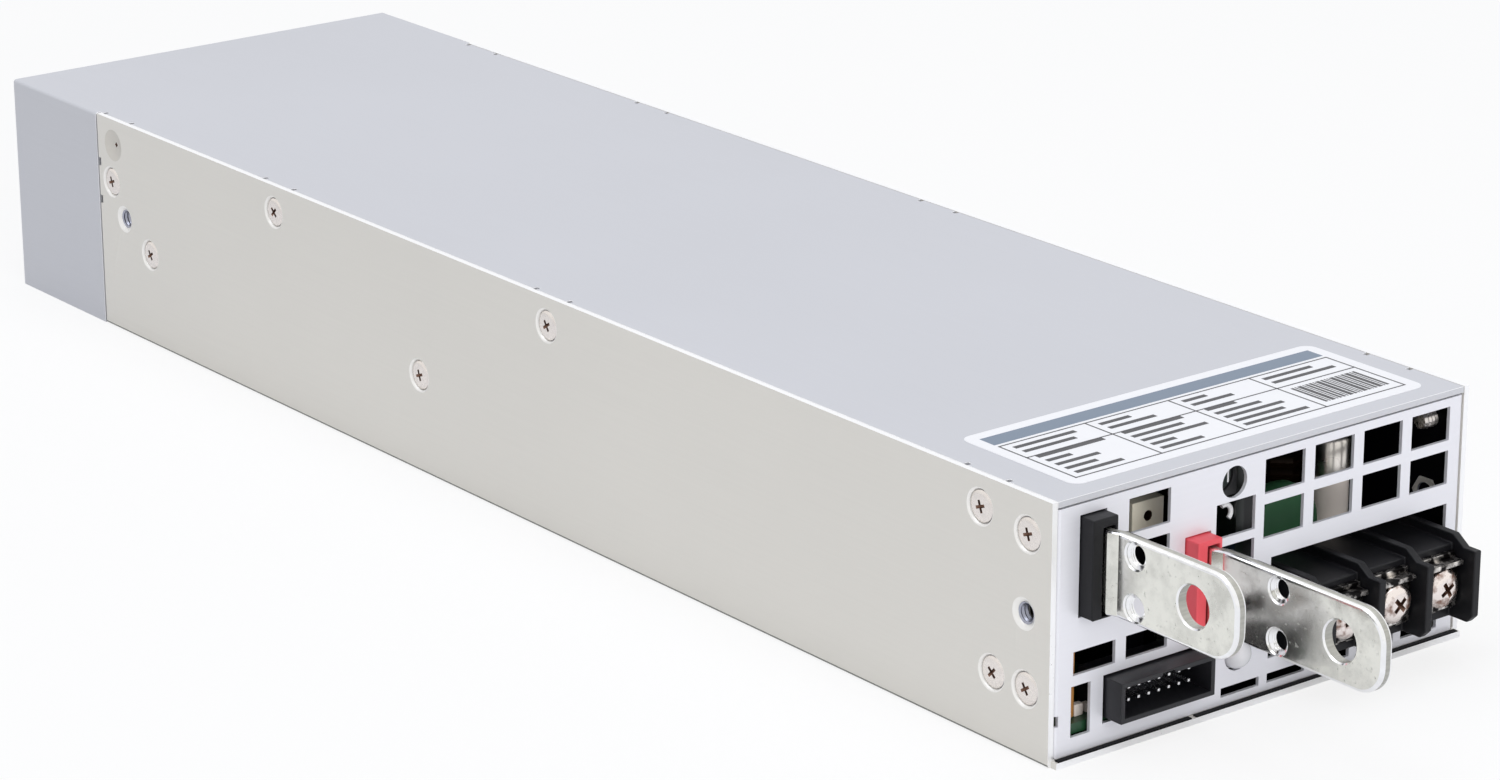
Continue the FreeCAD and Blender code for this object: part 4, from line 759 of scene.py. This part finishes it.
class SUPPLY_OT_input_terminals(bpy.types.Operator):
    """Barrier block with its plates, clamp washers and screws"""
    bl_idname = "supply.input_terminals"
    bl_label = "Input terminals"

    def execute(self, context):
        finished("barrier_block", cad_copy("terminal_block"), finish_of("black_plastic"),
                 solids=["terminal_block"], edge=mm("moulded_edge"))
        finished("pole_plates", cad_copy("terminal_plates"), finish_of("clamp_metal"),
                 solids=["terminal_plates"], edge=0.12)
        finished("square_washers", cad_copy("clamp_washers"), finish_of("clamp_metal"),
                 solids=["clamp_washers"], edge=0.15)
        crown = [(0, 1.88), (1.6, 1.82), (2.5, 1.55), (3.0, 1.1), (3.2, 0.6), (3.2, 0.1), (3.1, 0.0), (1.6, 0.0)]
        screw = driven(crown + thread(1.7, -0.05, -7.9), POLE_CROSS)
        heads = [pointed(screw.copy(), Vector((x, POLE_SEAT, POLE_HEIGHT)), FRONT, roll)
                 for x, roll in zip(POLES, (0.3, 0.75, 0.55))]
        screw.free()
        steel = [finish_of("pole_steel"), finish_of("recess")]
        finished("pole_screws", joined(heads), steel, solids=["terminal_screws"], smooth=40)
        return {"FINISHED"}


class SUPPLY_OT_control_fittings(bpy.types.Operator):
    """Control header, status lamp and trimmer"""
    bl_idname = "supply.control_fittings"
    bl_label = "Control fittings"

    def execute(self, context):
        black = finish_of("black_plastic")
        finished("header_box", cad_copy("header_shroud"), finish_of("header_plastic"),
                 solids=["header_shroud"], edge=0.15)
        finished("header_posts", cad_copy("header_pins"), finish_of("post_tin"),
                 solids=["header_pins"], edge=0.1)
        finished("lamp_holder", cad_copy("led_holder"), black, solids=["led_holder"], edge=0.15)
        bulb, rise = 2.4, 1.74
        dome = [(bulb * math.cos(a), rise + bulb * math.sin(a)) for a in (0.2, 0.4, 0.6, 0.8, 1.0, 1.2, 1.4)]
        lens = [(0, 0), (2.7, 0), (2.7, 0.9), (2.62, 1.0), (bulb, 1.02), (bulb, rise)] + dome + [(0, 4.14)]
        finished("lamp_lens", spun(lens, LAMP, FRONT), finish_of("lamp_lens"), solids=["status_led"])
        cup = spun([(0, 1.55), (0.35, 1.55), (0.85, 1.95), (0.95, 1.95), (0.95, 1.1), (0, 1.1)], LAMP, FRONT, 32)
        posts = [slab(LAMP + Vector((x - 0.25, -1.2, -0.25)), LAMP + Vector((x + 0.25, -0.1, 0.25)))
                 for x in (-0.9, 0.9)]
        finished("lamp_leadframe", joined([cup] + posts), finish_of("contact_metal"))
        body = cad_copy("trimmer_body")
        finished("trimmer_case", body, finish_of("box_plastic"), solids=["trimmer_body"], edge=0.15)
        rotor = spun([(0, 1.2), (2.05, 1.2), (2.25, 1.05), (2.25, 0), (0, 0)], TRIMMER, FRONT)
        slot = marked(slab(TRIMMER + Vector((-0.4, -2.0, -3.0)), TRIMMER + Vector((0.4, -0.8, 3.0))), 1)
        mark = slab(TRIMMER + Vector((1.3, -1.24, -1.2)), TRIMMER + Vector((1.62, -1.1, 1.2)))
        finished("dial_mark", mark, finish_of("label"), body="trimmer")
        finished("trimmer_dial", carved(rotor, slot), [finish_of("dial"), finish_of("contact_metal")],
                 body="trimmer", solids=["trimmer_rotor"], edge=0.08)
        return {"FINISHED"}


class SUPPLY_OT_rating_label(bpy.types.Operator):
    """White film label with a plain printed table of bars and a colour band"""
    bl_idname = "supply.rating_label"
    bl_label = "Rating label"

    def execute(self, context):
        film = slab(LABEL_LOW + (CASE_TOP,), LABEL_HIGH + (CASE_TOP + 0.06,))
        upright = [edge for edge in film.edges if abs((edge.verts[0].co - edge.verts[1].co).z) > 0.01]
        rounded(film, upright, mm("label_corner"), 6)
        finished("label_film", film, finish_of("label"), solids=["rating_label"])

        def field(left, right, front, rear):
            """Printed box, just proud of the film."""
            return slab((left, front, CASE_TOP + 0.03), (right, rear, CASE_TOP + 0.085))

        left, front = (edge + LABEL_MARGIN for edge in LABEL_LOW)
        right, rear = (edge - LABEL_MARGIN for edge in LABEL_HIGH)
        columns, rows, rule, bar, pitch = 4, 7, 0.28, 0.95, 2.1
        column_width = (right - left) / columns
        band = field(left, right, rear - 3.4, rear)
        finished("label_band", band, finish_of("label_band"))
        table = rear - 4.4
        ink = [field(left, right, y, y + rule) for y in (front, table - 6.2, table)]
        ink += [field(x, x + rule, front, table)
                for x in [left + column_width * column for column in range(columns)] + [right - rule]]
        lengths = (12.0, 8.4, 10.2, 6.1, 13.1, 9.3, 4.8)
        for column in range(columns):
            for row in range(rows):
                x = left + 1.6 + column_width * column
                y = table - pitch * (row + 1) - (0.9 if row > 1 else 0.0)
                size = lengths[(3 * column + 2 * row) % len(lengths)]
                if column < columns - 1 or row < 2:  # the last column's lower box holds the stripes
                    ink.append(field(x, x + size, y, y + bar))
        stripe, gap = 19.6, 0.3
        for width in (0.5, 0.25, 0.8, 0.25, 0.5, 0.5, 0.25, 0.8, 0.5, 0.25, 0.25, 0.8, 0.5, 0.25, 0.5, 0.8, 0.25, 0.5):
            ink.append(field(stripe, stripe + width, front + 1.9, table - 7.4))
            stripe += width + gap
        finished("label_print", joined(ink), finish_of("label_ink"))
        return {"FINISHED"}


class SUPPLY_OT_fans(bpy.types.Operator):
    """Fan frames, impellers and their hub caps"""
    bl_idname = "supply.fans"
    bl_label = "Fans"

    def execute(self, context):
        black = finish_of("black_plastic")
        for side, x in FANS.items():
            finished("fan_housing_" + side, cad_copy("fan_frame_" + side), black,
                     solids=["fan_frame_" + side], edge=0.25)
            finished("impeller_" + side, cad_copy("fan_rotor_" + side), black,
                     body=side + "_fan", solids=["fan_rotor_" + side], edge=0.12)
            hub = spun([(0, 0.02), (2.0, 0.02), (2.3, 0.25), (6.2, 0.3), (6.6, 0.1), (6.6, -0.5), (0, -0.5)],
                       (x, HUB_BACK, FAN_HEIGHT), BACK)
            finished("hub_cap_" + side, hub, finish_of("header_plastic"), body=side + "_fan")
        return {"FINISHED"}


def fuse():
    """Ceramic tube fuse upright on the board, with rounded metal caps."""
    x, y, _ = FUSE
    cap = [(0, 6.0), (1.4, 6.0), (2.8, 6.2), (3.15, 6.7), (3.15, 12.2), (3.0, 12.4), (0, 12.4)]
    both_ends = 39.0  # the caps' heights above the floor, added up
    top = [(radius, both_ends - height) for radius, height in reversed(cap)]
    caps = [spun(cap, FUSE), spun(top, FUSE), rod(0.5, 1.2, (x, y, BOARD_TOP), UP, 16)]
    finished("fuse_end_caps", joined(caps), finish_of("cap_metal"), solids=["fuse_caps"])
    tube = spun([(0, 12.3), (3.0, 12.3), (3.0, 26.7), (0, 26.7)], FUSE)
    finished("fuse_body", tube, finish_of("ceramic"), solids=["fuse_tube"])


def thermistor():
    """Dipped disc on two legs."""
    x, y, _ = THERMISTOR
    disc = [(0, 2.5), (5.6, 2.4), (6.5, 1.9), (6.9, 0.8), (6.9, -0.8), (6.5, -1.9), (5.6, -2.4), (0, -2.5)]
    green = [spun(disc, THERMISTOR, BACK, 64)]
    green += [rod(0.5, 9.0, (x + side * 3.8, y, BOARD_TOP), UP, 16) for side in (-1, 1)]
    finished("thermistor_disc", joined(green), finish_of("thermistor_green"),
             solids=["inrush_thermistor"])


def output_sink():
    """Heat sink with its screw hole painted dark as shade, taped black below its head."""
    sink = cad_copy("output_heatsink")
    split(sink, (0, 0, TAPE_TOP), UP)
    x, z = SINK_HOLE
    for face in sink.faces:
        middle = face.calc_center_median()
        # Faces in the screw hole take the dark recess finish: painted shade
        if math.hypot(middle.x - x, middle.z - z) < 0.9 and face.calc_area() < 4.0:
            face.material_index = 1
        elif middle.z < TAPE_TOP:
            face.material_index = 2
    finished("output_sink_bar", sink, [finish_of("sink_metal"), finish_of("recess"), finish_of("film")],
             solids=["output_heatsink"], edge=0.12)


def sleeved_lead():
    """Short white lead bent into most of a half circle."""
    lead = bmesh.new()
    section = Matrix.Translation((1.3, 0, 0)) @ Matrix.Rotation(math.pi / 2, 4, "X")
    ring = bmesh.ops.create_circle(lead, segments=12, radius=0.4, matrix=section, cap_ends=True)
    bmesh.ops.spin(lead, geom=list(lead.faces) + list(lead.edges) + ring["verts"], cent=(0, 0, 0), axis=(0, 0, 1),
                   angle=math.radians(170), steps=14)
    bmesh.ops.recalc_face_normals(lead, faces=lead.faces)
    pointed(lead, Vector(LEAD), FRONT, math.radians(-50))
    finished("sleeved_lead", lead, finish_of("label"))


def small_parts():
    """Parts that show at the edges of the vents: disc, capacitor and chips, and a black sheet and a black block that
    are painted shade.
    """
    x, y, _ = BLUE_DISC
    disc = [(0, 1.5), (2.4, 1.4), (3.2, 0.9), (3.5, 0), (3.2, -0.9), (2.4, -1.4), (0, -1.5)]
    blue = [spun(disc, BLUE_DISC, BACK), rod(0.4, 12.8, (x, y, BOARD_TOP), UP, 16)]
    finished("disc_capacitor", joined(blue), finish_of("blue_epoxy"))
    # Black block right of the control board: painted shade in the middle vents
    block = slab((-1.65, -146.6, 19.4), (1.9, -141.0, 33.9))
    finished("vent_painted_shade_block", block, finish_of("package_epoxy"), edge=0.3)
    # Black sheet inside the right wall: painted shade in the vents' right columns
    shade_sheet = slab((40.25, -148.4, 5.6), (40.6, -60.0, 39.2))
    finished("wall_painted_shade_sheet", shade_sheet, finish_of("film"), edge=0.1)
    tan = slab((-36.3, -147.4, BOARD_TOP), (-35.0, -142.0, 18.6))
    finished("edge_capacitor", tan, finish_of("tan_epoxy"), edge=0.5, segments=3)
    chips = [slab((x, y, BOARD_TOP), (x + 1.7, y + 1.1, 6.4 + rise)) for x, y, rise in CHIPS]
    finished("board_chips", joined(chips), finish_of("ceramic"), edge=0.15)


class SUPPLY_OT_inner_parts(bpy.types.Operator):
    """Parts seen through the vents, and finishes on every other solid"""
    bl_idname = "supply.inner_parts"
    bl_label = "Inner parts"

    def execute(self, context):
        for make in (fuse, thermistor, output_sink, sleeved_lead, small_parts):
            make()
        finishes = {part["node"]: part["material_slot"] for part in frame["record"]["subparts"]}
        # The control board takes the near-black laminate: painted shade behind the middle vents
        finishes["control_board"] = "board_painted_shade"
        for node, slot in finishes.items():
            for material_slot in frame["nodes"][node].material_slots:
                material_slot.material = finish_of(slot)
        return {"FINISHED"}


# Stage

def white_studio(scene):
    """World that camera, gloss and glass see as white, and that lights the object softly."""
    world = bpy.data.worlds.new("white_studio")
    scene.world = world
    tree = empty_tree(world)
    path = add(tree, "LightPath")
    seen = add(tree, "Math", {0: path.outputs["Is Camera Ray"], 1: path.outputs["Is Glossy Ray"]},
               operation="MAXIMUM")
    shown = add(tree, "Math", {0: seen.outputs[0], 1: path.outputs["Is Transmission Ray"]}, operation="MAXIMUM")
    lit = add(tree, "Background", {"Color": linear("FAFAFA"), "Strength": WORLD_LIGHT})
    white = add(tree, "Background", {"Color": (1, 1, 1, 1), "Strength": 1.0})
    either = add(tree, "MixShader", {0: shown.outputs[0], 1: lit.outputs[0], 2: white.outputs[0]})
    add(tree, "OutputWorld", {"Surface": either.outputs[0]})


def pale_floor(scene):
    """Matt paper floor that takes the shadow, lifted towards white for the camera."""
    bm = bmesh.new()
    bmesh.ops.create_grid(bm, x_segments=1, y_segments=1, size=FLOOR_REACH)
    mesh = mesh_of(bm, "floor")
    floor = bpy.data.objects.new("floor", mesh)
    scene.collection.objects.link(floor)
    material = bpy.data.materials.new("pale_floor")
    tree = empty_tree(material)
    path = add(tree, "LightPath")
    paper = add(tree, "BsdfDiffuse", {"Color": linear("F2F2F2")})
    glow = add(tree, "Emission", {"Color": (1, 1, 1, 1), "Strength": 1.0})
    part = add(tree, "Math", {0: path.outputs["Is Camera Ray"], 1: FLOOR_GLOW}, operation="MULTIPLY")
    blend = add(tree, "MixShader", {0: part.outputs[0], 1: paper.outputs[0], 2: glow.outputs[0]})
    add(tree, "OutputMaterial", {"Surface": blend.outputs[0]})
    mesh.materials.append(material)


def soft_lamps(scene):
    """Square lamps aimed at the origin, of which gloss shows only the key lamp."""
    for name, place, size, power, tint in LAMPS:
        light = bpy.data.lights.new(name, "AREA")
        light.shape, light.size, light.energy = "SQUARE", size, power
        light.color = linear(tint)[:3]
        lamp = bpy.data.objects.new(name, light)
        lamp.location = place
        lamp.visible_glossy = name == "key"
        lamp.rotation_euler = (-Vector(place)).to_track_quat("-Z", "Y").to_euler()
        scene.collection.objects.link(lamp)


def photo_camera(scene):
    """Camera at the photograph's viewing angle."""
    camera = bpy.data.cameras.new("camera")
    camera.sensor_width, camera.sensor_fit, camera.lens = SENSOR, "HORIZONTAL", LENS
    eye = bpy.data.objects.new("camera", camera)
    eye.location = EYE
    eye.rotation_euler = [math.radians(a) for a in EYE_TURN]
    scene.collection.objects.link(eye)
    scene.camera = eye


class SUPPLY_OT_stage(bpy.types.Operator):
    """Pale floor, white surroundings, soft lamps and the camera"""
    bl_idname = "supply.stage"
    bl_label = "Stage"

    def execute(self, context):
        scene = context.scene
        scene.view_settings.view_transform = "Standard"
        for make in (white_studio, pale_floor, soft_lamps, photo_camera):
            make(scene)
        return {"FINISHED"}


OPERATORS = (SUPPLY_OT_stage, SUPPLY_OT_sheet_metal, SUPPLY_OT_flush_screws, SUPPLY_OT_bus_bars,
             SUPPLY_OT_input_terminals, SUPPLY_OT_control_fittings, SUPPLY_OT_rating_label,
             SUPPLY_OT_fans, SUPPLY_OT_inner_parts)


class SUPPLY_PT_panel(bpy.types.Panel):
    """Lists the pieces, their sizes and their colours"""
    bl_idname = "SUPPLY_PT_panel"
    bl_label = "Power supply"
    bl_space_type = "VIEW_3D"
    bl_region_type = "UI"
    bl_category = "Power supply"

    def draw(self, context):
        for group in (context.scene.supply_sizes, context.scene.supply_colours):
            box = self.layout.box()
            for name in group.__annotations__:
                box.prop(group, name)
        for operator in OPERATORS:
            self.layout.operator(operator.bl_idname)


CLASSES = (SupplyColours, SupplySizes) + OPERATORS + (SUPPLY_PT_panel,)


def register():
    for item in CLASSES:
        bpy.utils.register_class(item)
    bpy.types.Scene.supply_colours = bpy.props.PointerProperty(type=SupplyColours)
    bpy.types.Scene.supply_sizes = bpy.props.PointerProperty(type=SupplySizes)


def unregister():
    del bpy.types.Scene.supply_sizes
    del bpy.types.Scene.supply_colours
    for item in reversed(CLASSES):
        bpy.utils.unregister_class(item)


def main():
    register()
    for operator in OPERATORS:
        getattr(bpy.ops.supply, operator.bl_idname.split(".")[1])()


if __name__ == "__main__":
    main()
